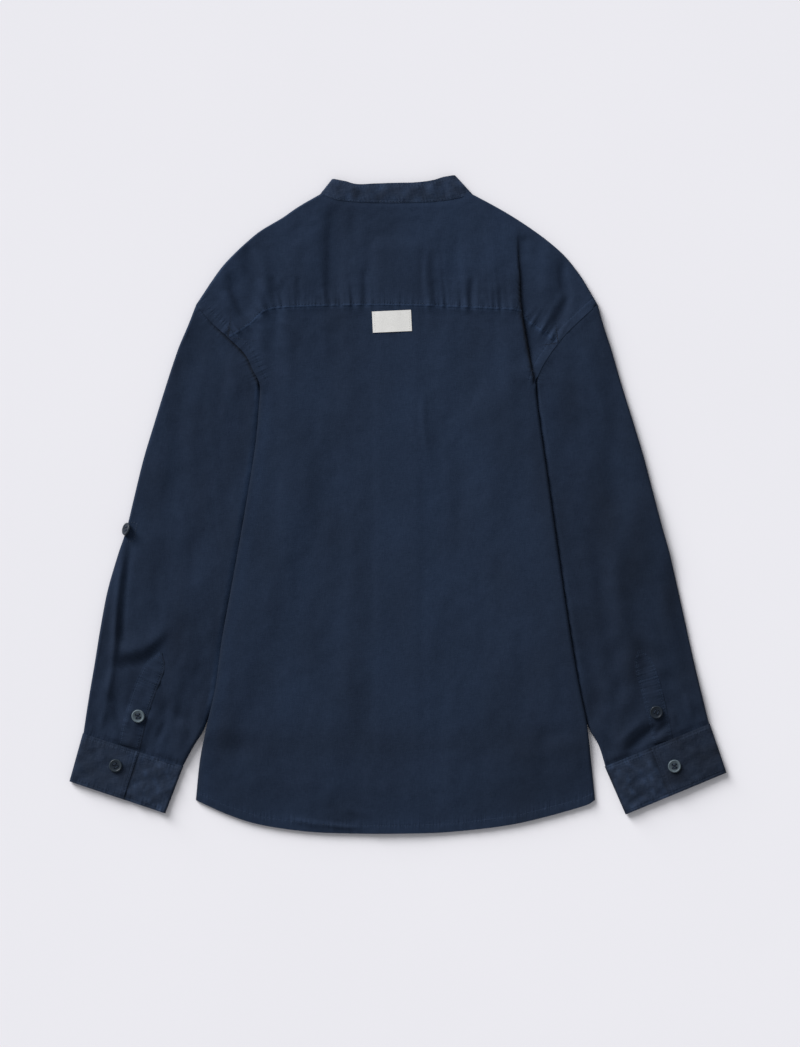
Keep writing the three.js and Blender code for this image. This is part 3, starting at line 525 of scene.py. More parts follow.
def clothMaterial(name, dark, light, wrinkle):
    material, tree, shader = startMaterial(name, 0.9, 0.03)
    coords = tree.nodes.new("ShaderNodeTexCoord").outputs["Object"]

    def calc(kind, a, b=None):
        return mathNode(tree, kind, a, b)

    def noise(detail, stretch):
        return noiseNode(tree, coords, detail, stretch)

    threads = calc("ADD", noise(2, (2600, 260, 400)), noise(2, (260, 2600, 400)))
    # thicker yarns here and there, then slow changes of shade
    blend = calc("MULTIPLY", threads, 0.2)
    for stretch, detail, share in (((1300, 210, 300), 2, 0.42), ((230, 1250, 300), 2, 0.36),
                                   ((150, 110, 150), 4, 0.22), ((14, 9, 14), 3, 0.2)):
        blend = calc("ADD", blend, calc("MULTIPLY", noise(detail, stretch), share))
    colour = rampNode(tree, calc("SUBTRACT", blend, 0.16), dark, light, 0.42, 0.86)
    # grooves along the stitching, with small puckers beside them
    groove = near = 0.0
    for line, depth in clothLook["grooves"].items():
        off = calc("ABSOLUTE", attributeNode(tree, line))
        narrow = calc("EXPONENT", calc("MULTIPLY", off, -1.5))
        groove = calc("ADD", groove, calc("MULTIPLY", narrow, depth))
        near = calc("ADD", near, calc("EXPONENT", calc("MULTIPLY", off, -0.32)))
    run = addNode(tree, "ShaderNodeCombineXYZ", {0: attributeNode(tree, "run")}).outputs[0]
    ripple = calc("MULTIPLY", calc("SUBTRACT", noiseNode(tree, run, 3, scale=0.34), 0.5), near)
    gather = calc("MULTIPLY", noiseNode(tree, run, 1, scale=0.15), attributeNode(tree, "gather"))
    height = calc("ADD", calc("MULTIPLY", ripple, 1.5), calc("MULTIPLY", gather, 1.9))
    height = calc("SUBTRACT", height, calc("MULTIPLY", groove, 0.10))
    height = calc("ADD", height, calc("MULTIPLY", noise(6, (210, 230, 210)), wrinkle))
    soft = bumpNode(tree, height, 1.0, 0.001)
    # the cloth is paler where a seam has rubbed
    rubbed = calc("MULTIPLY", calc("MULTIPLY", near, noise(4, (420, 300, 420))), clothLook["rubbed"])
    scaled = addNode(tree, "ShaderNodeVectorMath", {0: colour})
    scaled.operation = "SCALE"
    tree.links.new(calc("ADD", attributeNode(tree, "tone"), rubbed), scaled.inputs["Scale"])
    tree.links.new(scaled.outputs[0], shader.inputs["Base Color"])
    fine = bumpNode(tree, threads, clothLook["weave"], 0.0003, soft)
    tree.links.new(fine, shader.inputs["Normal"])
    return material


def plainMaterial(name, dark, light, scale, roughness, bump):
    material, tree, shader = startMaterial(name, roughness)
    coords = tree.nodes.new("ShaderNodeTexCoord").outputs["Object"]
    fac = noiseNode(tree, coords, 3, scale)
    tree.links.new(rampNode(tree, fac, dark, light, 0.35, 0.7), shader.inputs["Base Color"])
    tree.links.new(bumpNode(tree, fac, bump, 0.0003), shader.inputs["Normal"])
    return material


navy = clothMaterial("navyCotton", (0.0055, 0.0130, 0.031), (0.0115, 0.0220, 0.047), 0.14)
navyBand = clothMaterial("navyBand", (0.0055, 0.0130, 0.031), (0.0165, 0.0255, 0.0465), 0.6)
threadGrain = (900, 900, 900)
threadNavy = plainMaterial("navyThread", (0.012, 0.022, 0.043), (0.022, 0.034, 0.06),
                           threadGrain, 0.7, 0.2)
threadPale = plainMaterial("paleThread", (0.03, 0.045, 0.075), (0.05, 0.07, 0.10),
                           threadGrain, 0.7, 0.2)
labelWhite = plainMaterial("labelTape", (0.62, 0.615, 0.60), (0.72, 0.715, 0.70), (2600, 900, 900),
                           0.85, 0.15)
threadWhite = plainMaterial("whiteThread", (0.62, 0.61, 0.58), (0.8, 0.79, 0.76),
                            threadGrain, 0.6, 0.2)


def buttonMaterial():
    # dark in the middle, paler and glossy on the rim: a little of the rim's paleness is the button's
    # own colour, most of it is painted highlight set for each button
    material, tree, shader = startMaterial("navyButton", 0.32, specular=0.16)
    coords = tree.nodes.new("ShaderNodeTexCoord").outputs["Object"]
    swirl = mathNode(tree, "ADD", noiseNode(tree, coords, 4, (420, 150, 300)), 0.4)
    fac = mathNode(tree, "MULTIPLY", attributeNode(tree, "rim"), swirl)
    colour = rampNode(tree, fac, (0.008, 0.012, 0.02), (0.095, 0.125, 0.145))
    tree.links.new(colour, shader.inputs["Base Color"])
    return material


buttonNavy = buttonMaterial()
print("materials made")


# meshes
def normalsOf(grid, ring):
    if ring:
        across = np.roll(grid, -1, axis=1) - np.roll(grid, 1, axis=1)
    else:
        across = np.gradient(grid, axis=1)
    down = np.gradient(grid, axis=0)
    out = np.cross(down, across)
    return out / np.maximum(np.linalg.norm(out, axis=2, keepdims=True), 1e-9)


def addPiece(thing):
    bpy.context.scene.collection.objects.link(thing)
    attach(thing, "root")


def addMesh(name, verts, faces, material):
    mesh = bpy.data.meshes.new(name)
    mesh.from_pydata((np.asarray(verts) * mm).tolist(), [], faces)
    mesh.materials.append(material)
    mesh.polygons.foreach_set("use_smooth", [True] * len(mesh.polygons))
    mesh.update()
    thing = bpy.data.objects.new(name, mesh)
    addPiece(thing)
    return thing


def shell(name, grid, wall, material, node, ring=False, lines=None):
    # a closed wall under a grid of points: lineA to lineC are the distances to rows of stitches, run
    # is the way along them, tone the shade of the cloth with painted light and shade in it, and gather
    # the puckers at a seam
    rows, cols = grid.shape[:2]
    inner = grid - normalsOf(grid, ring) * wall
    verts = np.concatenate([grid.reshape(-1, 3), inner.reshape(-1, 3)])
    index = np.arange(rows * cols).reshape(rows, cols)
    if ring:
        index = np.concatenate([index, index[:, :1]], axis=1)
    a, b, c, d = index[:-1, :-1], index[1:, :-1], index[1:, 1:], index[:-1, 1:]
    n = rows * cols
    outerFaces = np.stack([a, b, c, d], -1).reshape(-1, 4)
    innerFaces = np.stack([a, d, c, b], -1).reshape(-1, 4) + n
    top, low = index[0], index[-1]
    rims = [np.stack([top[:-1], top[1:], top[1:] + n, top[:-1] + n], -1),
            np.stack([low[1:], low[:-1], low[:-1] + n, low[1:] + n], -1)]
    if not ring:
        left, right = index[:, 0], index[:, -1]
        rims.append(np.stack([left[1:], left[:-1], left[:-1] + n, left[1:] + n], -1))
        rims.append(np.stack([right[:-1], right[1:], right[1:] + n, right[:-1] + n], -1))
    faces = np.concatenate([outerFaces, innerFaces, *rims]).tolist()
    thing = addMesh(name, verts, faces, material)
    for key, plain in (("lineA", farOff), ("lineB", farOff), ("lineC", farOff), ("run", farOff),
                       ("tone", 1.0), ("gather", 0.0)):
        values = (lines or {}).get(key, np.full((rows, cols), plain))
        both = np.tile(np.asarray(values, np.float32).ravel(), 2)
        thing.data.attributes.new(key, "FLOAT", "POINT").data.foreach_set("value", both)
    thing.data.set_sharp_from_angle(angle=math.radians(62))
    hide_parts(node)
    return thing


def stitches(name, paths, material, pitch=2.7, length=2.0, radius=0.2):
    # each path is a row of points on the cloth, each stitch a small lens of thread
    verts, faces = [], []
    for path in paths:
        path = np.asarray(path, float)
        steps = np.linalg.norm(np.diff(path, axis=0), axis=1)
        runs = np.concatenate([[0], np.cumsum(steps)])
        for s in np.arange(0.4, runs[-1] - length, pitch):
            a, b = (np.array([np.interp(at, runs, path[:, k]) for k in range(3)])
                    for at in (s, s + length))
            side = np.cross(b - a, (0, 0, 1))
            side = side / max(np.linalg.norm(side), 1e-6) * radius
            up = np.array([0, 0, radius * 0.8])
            middle = (a + b) / 2 + up * 0.3
            k = len(verts)
            verts += [a - up * 0.3, b - up * 0.3,
                      middle + side, middle + up, middle - side, middle - up]
            for i, j in ((2, 3), (3, 4), (4, 5), (5, 2)):
                faces += [(k, k + j, k + i), (k + 1, k + i, k + j)]
    return addMesh(name, np.array(verts), faces, material)


def onSurface(line, heightOf, lift):
    line = np.asarray(line, float)
    x, y = line[:, 0], line[:, 1]
    return np.stack([x, y, heightOf(x, y) + lift], -1)


def planOf(grid):
    return grid[..., 0], grid[..., 1]


def mirrored(grid, lines):
    return grid[:, ::-1], {key: values[:, ::-1] for key, values in lines.items()}


def raised(rows, lift):
    return [row + (0, 0, lift) for row in rows]


def offsetLine(line, distance):
    # moved to the line's left
    tangent = unit(np.gradient(line, axis=0))
    return line + distance * np.stack([-tangent[:, 1], tangent[:, 0]], -1)


# back and yoke
def bodyGrid(top, bottom, sideCurves, down, curlOf, mainCount, lastCount):
    left, right = sideCurves["left"](down), sideCurves["right"](down)
    width = right[:, 0] - left[:, 0]
    turns = 1 - np.cos(np.linspace(0, pi / 2, 8))
    edge = turns[None, :] * sideRound / width[:, None]
    probe = patch(top, bottom, sideCurves["left"], sideCurves["right"],
                  np.full_like(down, 0.93), down)
    line = np.minimum(foldLine(probe[:, 1]), right[:, 0] - 9)
    share = (line - left[:, 0]) / width
    nearFold = np.array([-7, -5.5, -4.5, -3.7, -3, -2.3, -1.7, -1.1, -0.5, 0, 0.5, 1.1, 1.7, 2.3, 3,
                         3.7, 4.5])
    foldCols = share[:, None] + nearFold[None, :] / width[:, None]
    main = np.linspace(0, 1, mainCount + 1)[None, 1:-1]
    mainCols = lerp(edge[:, -1:], foldCols[:, :1], main)
    last = np.linspace(0, 1, lastCount + 1)[None, 1:-1]
    lastCols = lerp(foldCols[:, -1:], 1 - edge[:, -1:], last)
    across = np.concatenate([edge, mainCols, foldCols, lastCols, 1 - edge[:, ::-1]], axis=1)
    rows = np.repeat(down[:, None], across.shape[1], axis=1)
    flatGrid = patch(top, bottom, sideCurves["left"], sideCurves["right"], across, rows)
    x, y = planOf(flatGrid)
    height = backHeight(x, y)
    inside = np.minimum(across, 1 - across) * width[:, None]
    turned = np.sqrt(np.clip(1 - np.maximum(0, 1 - inside / sideRound) ** 2, 0, 1))
    foot = frontStack(x, y) + 1.5 * gap
    amount = np.where(across < 0.5, curlOf(left[:, 1])[:, None], curlOf(right[:, 1])[:, None])
    z = lerp(height, lerp(foot, height, turned), amount)
    # the shoulder fold laps over itself
    off = x - foldLine(y)
    strength = foldDepth(y) / max(shoulderFold["step"])
    lapped = 2.7 * strength * np.sin(2 * pi * np.clip((off + 4) / 8, 0, 1))
    return np.stack([x + lapped, y, z], -1)


def spread(parts):
    # shares down a panel from (start, end, count) runs
    return np.unique(np.concatenate([np.linspace(a, b, n + 1) for a, b, n in parts]))


def bodyTone(x, y):
    # slow paler and darker patches over the body, and a painted shadow in the crack at the foot of the
    # shoulder fold
    tone = 1 + 0.05 * bell(x, 24, -92) + 0.04 * bell(x, 26, 32)
    tone = tone - 0.05 * bell(x, 20, -42) - 0.05 * smooth(np.abs(x), 105, 150)
    tone = tone - 0.12 * bell(y, 15, -208) - 0.06 * smooth(-y, 190, 220)
    tone = tone + smooth(y, 185, 215) * (0.04 + 0.13 * smooth(x, 5, 60)) + 0.05 * bell(x, 50, 30)
    tone = tone + 0.08 * bell(x, 60) * smooth(y, -60, 0) * (1 - smooth(y, 140, 170))
    tone = tone + 0.13 * bell(x, 26, -142) * smooth(y, 150, 190)
    tone = tone - 0.14 * bell(x, 36, 112) * smooth(-y, 90, 150)
    # painted shadow in the crack just to the right of the shoulder fold
    strength = foldDepth(y) / max(shoulderFold["step"])
    tone = tone - 0.8 * strength * bell(x - foldLine(y), 1.5, 0.6)
    return tone + rumple(x, y, 19, 0.06, 1.4, 1.8, 14, 60)


def sleeveTone(x, y):
    # darker further down the sleeves: painted shade where the lower sleeves slope away from the light
    left = 0.94 - 0.10 * smooth(-y, 60, 120)
    right = 0.86 - 0.16 * smooth(-y, -60, 30) + 0.10 * bell(x, 26, 150)
    tone = np.where(x < 0, left, right) + rumple(x, y, 23, 0.09, 1.5, 2.2, 12, 50)
    # painted light on the sleeve close beside the left fold, against the fold's shadow
    out = -x - np.abs(column(bodyEdges, "left", np.minimum(y, underarm)))
    return tone * (1 + 0.8 * (x < 0) * bell(out, 2.2, 1.6) * (1 - smooth(y, 96, 112)))


def paintedSeamLight(off, x):
    # painted light along the yoke seam against the shadow of its step, with a little painted shade in
    # the yoke just above it on the left; off is the distance into the yoke
    pale = 0.4 * bell(off, 1.1, -0.2)
    pale = pale + 0.15 * smooth(-off, 0, 1.5) * np.exp(np.minimum(off, 0) / 6)
    return 1 + pale - 0.12 * (1 - smooth(x, -20, 10)) * bell(off, 2.6, 4)


def rimShade(x, y):
    # the body's folded sides are darker at the rim; on the left this is painted shade where the rim
    # turns toward the light, with a paler strip inside it
    inward = np.abs(bySide(bodyEdges, x, y)) - np.abs(x)
    left = 1 - 0.3 * (1 - smooth(inward, 0.8, 3.2)) + 0.16 * bell(inward, 5, 7)
    right = 1 - 0.1 * (1 - smooth(inward, 3, 16))
    return lerp(np.where(x < 0, left, right), 1, smooth(y, 95, 110))


def seamLines(grid, withHem):
    x, y = planOf(grid)
    arm, armRun = armDistance(x, y)
    yoke, yokeRun = nearLine(yokeSeam, x, y)
    run = np.where(np.abs(yoke) < arm, yokeRun, armRun + 500)
    # the armhole's stitching ends at the underarm
    last = {side: np.hypot(*np.diff(armholes[side], axis=0).T).sum() for side in armholes}
    past = armRun > np.where(x < 0, last["left"], last["right"]) - 1
    lines = {"lineA": np.where(past, farOff, arm - seamRow)}
    lines["lineB"] = farOff + 0 * x if withHem else yoke - yokeRow
    lines["lineC"] = (y - hemAt(x)) * 0.97 - seamRow if withHem else farOff + 0 * x
    lines["run"] = np.where(y - hemAt(x) < 25, x + 900, run)
    lines["tone"] = bodyTone(x, y) * paintedSeamLight(yoke, x) * rimShade(x, y)
    lines["gather"] = np.where(yoke > 0, np.exp(-yoke / 8), np.exp(yoke / 3)) + 0.4 * np.exp(-arm / 6)
    return lines


backPiece = {"mainCount": 170, "lastCount": 26, "wall": 0.7, "flat": (0.352, 0.466), "area": 0.137}
yokePiece = {"mainCount": 250, "lastCount": 44, "wall": 0.7, "flat": (0.352, 0.131), "area": 0.032}

seamShift = -0.8
lowerSides = {side: arc(spline(stretchOf(bodyEdges, side, yokeEnd[side] - seamShift, hemCorner)))
              for side in bothSides}
downBack = spread([(0, 0.04, 16), (0.04, 0.12, 12), (0.12, 0.9, 92), (0.9, 0.975, 12), (0.975, 1, 9)])
backTopCurve = arc(yokeSeam - (0, seamShift))
hemCurve = arc(through(hemLine["x"], hemLine["y"]))
backGrid = bodyGrid(backTopCurve, hemCurve, lowerSides, downBack,
                    lambda y: 1 - smooth(y, 97, 107), backPiece["mainCount"], backPiece["lastCount"])
underYoke = nearLine(yokeSeam, *planOf(backGrid))[0]
backGrid[..., 2] -= 0.22 * smooth(underYoke, -2.8, -0.7)
armEdge = armDistance(*planOf(backGrid))[0]
thin = np.maximum(smooth(underYoke, -3, -0.8), 1 - smooth(armEdge, 0.8, 3))
backWall = backPiece["wall"] * lerp(1, 0.25, thin)[..., None]
back = shell("back_cloth", backGrid, backWall, navy, "back",
             lines=seamLines(backGrid, True))

collarBack = {
    "seamX": [-68.4, -57.2, -46, -24, -2, 18, 36, 51.9, 65.4],
    "seamY": [273, 269, 266.8, 265.6, 265.3, 265.7, 266.8, 269.3, 273],
    "edgeX": [-58, -46.6, -36.1, -20, -4, 15, 30.7, 40, 50.4],
    "edgeY": [286.2, 284.4, 281.7, 282.2, 282.8, 283.2, 285.2, 288, 289.4],
}
neckEnds = {"left": (-66.6, 274.4), "right": (63.6, 274.4)}
neckPoints = [neckEnds["left"]]
neckPoints += [(x, y + 4) for x, y in zip(collarBack["seamX"][1:-1], collarBack["seamY"][1:-1])]
neckPoints += [neckEnds["right"]]
neckSeam = through(collarBack["seamX"], collarBack["seamY"])
upperSides = {}
for side in bothSides:
    shoulder = spline([neckEnds[side]] + stretchOf(bodyEdges, side, shoulderTop, armholeTop))
    armhole = spline(stretchOf(bodyEdges, side, armholeTop, yokeEnd[side] + seamShift))
    upperSides[side] = arc(np.vstack([shoulder, armhole[1:]]))
downYoke = spread([(0, 0.06, 6), (0.06, 0.75, 34), (0.75, 1, 34)])
yokeGrid = bodyGrid(arc(spline(neckPoints)), arc(yokeSeam + (0, seamShift)), upperSides, downYoke,
                    lambda y: smooth(y, 171, 177), yokePiece["mainCount"], yokePiece["lastCount"])
neckOff = nearLine(neckSeam, *planOf(yokeGrid))[0]
yokeGrid[..., 2] -= 0.45 * smooth(neckOff, -4, -0.2) + 0.4 * smooth(neckOff, 0, 4)
yokeEdge = np.abs(nearLine(yokeSeam, *planOf(yokeGrid))[0])
armEdge = armDistance(*planOf(yokeGrid))[0]
thin = np.maximum(1 - smooth(np.minimum(yokeEdge, armEdge), 0.9, 4), smooth(neckOff, -4, -0.4))
yokeGrid[..., 2] -= 0.08 * (1 - smooth(yokeEdge, 0.8, 3))
yokeWall = yokePiece["wall"] * lerp(1, 0.2, thin)[..., None]
yokeCloth = shell("yoke_cloth", yokeGrid, yokeWall, navy, "back_yoke",
                  lines=seamLines(yokeGrid, False))
print("back and yoke made")

bodyThreads = []
for side in bothSides:
    line = offsetLine(armholes[side], -signOf[side] * seamRow)
    bodyThreads.append(onSurface(line[6:-24], backHeight, threadLift))
bodyThreads.append(onSurface(offsetLine(yokeSeam, yokeRow)[10:-10], backHeight, threadLift))
hemPoints = hemCurve(np.linspace(0.012, 0.988, 160)) + (0, 7.3)
bodyThreads.append(onSurface(hemPoints, backHeight, threadLift))
stitches("body_stitching", bodyThreads, threadNavy)

# collar
collarPiece = {"wall": 1.3, "height": loft + 0.6, "deep": 17.5, "sewn": 0.32,
               "flat": (0.335, 0.022)}
collarFront = {
    "seamX": [0, 16, 34, 51, 62], "seamY": [205, 206.5, 213, 227, 249],
    "edgeX": [0, 12, 24, 36, 45], "edgeY": [227, 228, 234, 245, 265],
}


def collarGrid():
    table = collarFront
    seams = through(table["seamX"], table["seamY"], 8)
    edges = through(table["edgeX"], table["edgeY"], 8)
    half = np.concatenate([seams, edges], axis=1)
    lapEnd = np.array([[-11, 205.6, -11, 227.8], [-6, 205.2, -6, 227.3]])
    half = np.vstack([lapEnd, half])
    radius = collarPiece["height"] / 2

    def lay(sign):
        x = half[:, 0]
        lap = 1 - smooth(x, 13, 31)
        z = buttonRaise * overButtons(x, half[:, 1]) + ((band + gap) * lap if sign > 0 else 0 * x)
        return np.column_stack([sign * half[:, 0], half[:, 1], sign * half[:, 2], half[:, 3], z])

    def turn(i, sign, angles):
        angles = np.radians(angles)
        out = radius * (np.sin(angles) - 1) * sign
        base = [collarBack[k][i] for k in ("seamX", "seamY", "edgeX", "edgeY")]
        rows = np.tile(base, (len(angles), 1))
        rows[:, 0] += out
        rows[:, 2] += out
        return np.column_stack([rows, radius - radius * np.cos(angles)])

    angles = [12, 30, 50, 70, 90, 110, 130, 150, 168]
    middle = [through(collarBack[line + "X"], collarBack[line + "Y"], 8)[6:-6]
              for line in ("seam", "edge")]
    over = np.column_stack([middle[0], middle[1], np.full(len(middle[0]), 2 * radius)])
    stations = np.vstack([lay(-1), turn(0, -1, angles), over, turn(-1, 1, angles[::-1]), lay(1)[::-1]])
    down = np.linspace(0, 1, 15)[:, None]
    x = lerp(stations[:, 2], stations[:, 0], down)
    y = lerp(stations[:, 3], stations[:, 1], down)
    z = np.repeat(stations[None, :, 4], 15, axis=0)
    upper = smooth(z, 4.2, 5.2)
    roll = -0.5 * np.exp(-down / 0.09) - 0.6 * np.exp(-(1 - down) / 0.26)
    crumple = rumple(x, y, 51, 0.42, 1.4, 1.8, 5, 16)
    crumple = crumple + 0.3 * np.exp(-(1 - down) / 0.3) * puckers(x, 33)
    z = z + upper * (roll + crumple)
    # the sewn edge comes down to the yoke
    flat = yokeGrid.reshape(-1, 3)
    nearest = [np.argmin(np.hypot(flat[:, 0] - a, flat[:, 1] - b)) for a, b in zip(x[-1], y[-1])]
    drop = np.clip(flat[nearest, 2] + collarPiece["sewn"] - z[-1], -1.1, 0.1) * upper[-1]
    z = z + drop * smooth(down, 0.3, 1)
    return np.stack([x, y, z], -1), down


grid, down = collarGrid()
fromEdge = np.repeat(down * collarPiece["deep"], grid.shape[1], axis=1)
collarTone = 1.25 + rumple(*planOf(grid), 53, 0.3, 1.4, 1.5, 4, 13)
collarWall = collarPiece["wall"] * lerp(1, 0.2, smooth(fromEdge, 11, 17))[..., None]
collar = shell("collar_cloth", grid, collarWall, navyBand, "collar_stand",
               lines={"lineA": fromEdge - 2.0, "lineB": fromEdge - 15.6, "tone": collarTone,
                      "run": grid[..., 0] + grid[..., 1] * 0.3})
collarThreads = []
for share in (0.115, 0.9):
    row = grid[int(round(share * 14))]
    collarThreads.append(row[row[:, 2] > 4.6])
stitches("collar_stitching", raised(collarThreads, threadLift), threadNavy)
print("collar made")


# fronts, face down
frontPiece = {"wall": 0.7, "band": 23, "waves": {"left": 61, "right": 67}, "flat": (0.193, 0.56),
              "area": 0.085}


def frontGrid(side):
    sign = signOf[side]
    seam = spline([(sign * x, y) for x, y in zip(collarFront["seamX"], collarFront["seamY"])]
                  + [(float(column(bodyEdges, side, shoulderTop)), shoulderTop)], 10)
    neck = offsetLine(seam, -sign * 0.8)[::-1]
    lapX = -sign * frontLap
    neck = np.vstack([neck, [lapX, neck[-1, 1] + 0.6]])
    shoulder = spline(stretchOf(bodyEdges, side, shoulderTop, armholeTop)[::-1])
    shoulder[-1] = neck[0]
    hem = sorted(zip(hemLine["x"], hemLine["y"]), key=lambda p: -sign * p[0])
    hem = [p for p in hem if sign * p[0] > -frontLap + 8] + [(lapX, float(hemAt(lapX)))]
    hem = spline([(x, y + (3 if i else 0)) for i, (x, y) in enumerate(hem)])
    centre = np.linspace(neck[-1], hem[-1], 20)
    edge = arc(spline(stretchOf(bodyEdges, side, armholeTop, hemCorner)))
    across = spread([(0, 0.08, 8), (0.08, 1, 54)])
    down = spread([(0, 0.3, 34), (0.3, 1, 62)])
    a, d = np.meshgrid(across, down)
    flatGrid = patch(arc(np.vstack([shoulder, neck[1:]])), arc(hem), edge, arc(centre), a, d, 2.5)
    x, y = planOf(flatGrid)
    under = frontUnder(x, y) if side == "left" else rightFrontUnder(x, y)
    nearEdge = smooth(np.abs(bySide(bodyEdges, x, y)) - np.abs(x), 0, 26)
    clear = smooth(np.abs(x), 40, 60) * nearEdge * (1 - overSleeve(x, y)) * smooth(y - hemAt(x), 6, 30)
    lift = np.maximum(0, rumple(x, y, frontPiece["waves"][side], 0.5, 1.5, 2.4)) * clear
    grid = np.stack([x, y, under + lift], -1)
    if side == "left":
        grid = grid[:, ::-1]
    gx, gy = planOf(grid)
    hemOff = gy - hemAt(gx) - 3
    arm, armRun = armDistance(gx, gy)
    bandOff = np.abs(gx - lapX) - frontPiece["band"]
    return grid, {"lineA": arm - seamRow, "lineB": hemOff * 0.97 - seamRow, "lineC": bandOff,
                  "run": np.where(hemOff < 25, gx + 900, np.where(arm < 20, armRun, gy))}


for side in bothSides:
    grid, lines = frontGrid(side)
    shell(f"front_{side}_cloth", grid, frontPiece["wall"], navy,
                         f"front_{side}", lines=lines)
print("fronts made")


# sleeves
halfTurn = np.radians(np.linspace(0, 180, 11)[1:-1])[None, :]


def sleeveGrid(side):
    sign = signOf[side]
    corners = cuffCorners[side]
    # the cap runs just under the body's edge, then on to the underarm
    cap = armholes[side] - np.linspace(0, 1, len(armholes[side]))[:, None] * (sign * 0.9, -0.7)
    cap = np.vstack([cap, np.linspace(cap[-1], (sign * capEnd[0], capEnd[1]), 12)[1:]])
    cuffEnd = {k: np.array(corners[k]) + (sign * 0.35, -1.3) for k in ("sleeveOuter", "sleeveInner")}
    cuffEnd["sleeveOuter"] += (-sign * 0.9, 0)
    cuffEnd["sleeveInner"] += (sign * 0.7, 0)
    outer = [tuple(cap[0]), *list(zip(sleeveOuter[side], sleeveOuter["y"]))[1:],
             tuple(cuffEnd["sleeveOuter"])]
    inner = [tuple(cap[-1]), *list(zip(sleeveInner[side], sleeveInner["y"]))[1:],
             tuple(cuffEnd["sleeveInner"])]
    outerLine, innerLine = arc(spline(outer)), arc(spline(inner))
    down = spread([(0, 0.05, 9), (0.05, 0.93, 96), (0.93, 1, 12)])
    ends = innerLine(down) - outerLine(down)
    width = np.hypot(ends[:, 0], ends[:, 1])[:, None]

    def place(across):
        shares = across / width
        rows = np.repeat(down[:, None], across.shape[1], axis=1)
        return patch(arc(cap), arc(np.array([cuffEnd["sleeveOuter"], cuffEnd["sleeveInner"]])),
                     outerLine, innerLine, shares, rows)

    def level(measure, across):
        spot = place(across)
        return measure(side, *planOf(spot))

    zero = np.zeros_like(width)
    high = [level(sleeveHeight, zero), level(sleeveHeight, width)]
    low = [level(sleeveUnder, zero), level(sleeveUnder, width)]
    reach = [(h - l) / 2 for h, l in zip(high, low)]
    topShares = np.linspace(0, 1, 58)[None, :]
    lowShares = np.linspace(0, 1, 26)[None, :] ** 1.4
    spanTop = lerp(reach[0], width - reach[1], 1 - topShares)
    spanLow = lerp(reach[0], width - reach[1], lowShares)
    parts = [
        (spanTop, level(sleeveHeight, spanTop)),
        (reach[0] * (1 - np.sin(halfTurn)), low[0] + reach[0] * (1 + np.cos(halfTurn))),
        (spanLow, level(sleeveUnder, spanLow)),
        (width - reach[1] * (1 - np.sin(halfTurn)), low[1] + reach[1] * (1 - np.cos(halfTurn))),
    ]
    across, z = (np.concatenate(part, axis=1) for part in zip(*parts))
    spot = place(across)
    grid = np.concatenate([spot, z[..., None]], axis=2)
    capOff, capRun = nearLine(armholes[side], *planOf(spot))
    cuffOff, cuffRun = nearLine(cuffSeam(side), *planOf(spot))
    # painted shade along the sleeve's side of the armhole seam, strong on the left and weak on the
    # right
    dark = 0.6 * (1 - smooth(spot[..., 1], 148, 168)) if side == "left" else 0.1
    paintedSeamShade = dark * bell(np.abs(capOff), 1.5, 0.8) * smooth(spot[..., 1], 90, 104)
    lines = {"lineA": np.abs(capOff) + 0.2, "lineB": np.abs(cuffOff) + 0.2,
             "tone": sleeveTone(*planOf(spot)) - paintedSeamShade,
             "gather": 0.4 * np.exp(-np.abs(capOff) / 5) + 0.5 * np.exp(-np.abs(cuffOff) / 8),
             "run": np.where(np.abs(cuffOff) < 30, cuffRun + 400, capRun)}
    if side == "left":
        grid, lines = mirrored(grid, lines)
    return grid, lines


sleevePiece = {"wall": 0.7, "flat": (0.30, 0.41), "area": 0.088}
for side in bothSides:
    grid, lines = sleeveGrid(side)
    shell(f"sleeve_{side}_cloth", grid, sleevePiece["wall"], navy,
                          f"sleeve_{side}", ring=True, lines=lines)
print("sleeves made")

# cuffs
cuffPiece = {"wall": 1.3, "depth": 44, "lap": 0.56, "under": 22, "row": 2.2, "flat": (0.225, 0.044)}
cuffCreases = {
    "left": [
        crease(-264, -207, -243, -226, 3, 0.9, bend=4),
        crease(-268, -214, -250, -236, 3.4, -0.6, bend=4),
        crease(-246, -250, -220, -262, 2.4, 0.9),
        crease(-214, -222, -200, -246, 3.4, 0.9, bend=-2),
        crease(-206, -218, -194, -240, 3, -0.6),
    ],
    "right": [
        crease(219, -212, 232, -248, 3.2, 1.2, bend=2),
        crease(213, -213, 224, -246, 2.6, -1.0, bend=2),
        crease(246, -208, 250, -232, 4, 0.7),
        crease(262, -206, 272, -226, 4, -0.6),
        crease(196, -228, 206, -252, 3.6, 0.8),
    ],
}


cuffSides = {"left": {"waves": 71, "shades": 73, "tone": 0.92, "under": 0.1},
             "right": {"waves": 77, "shades": 79, "tone": 0.68, "under": 0.28}}


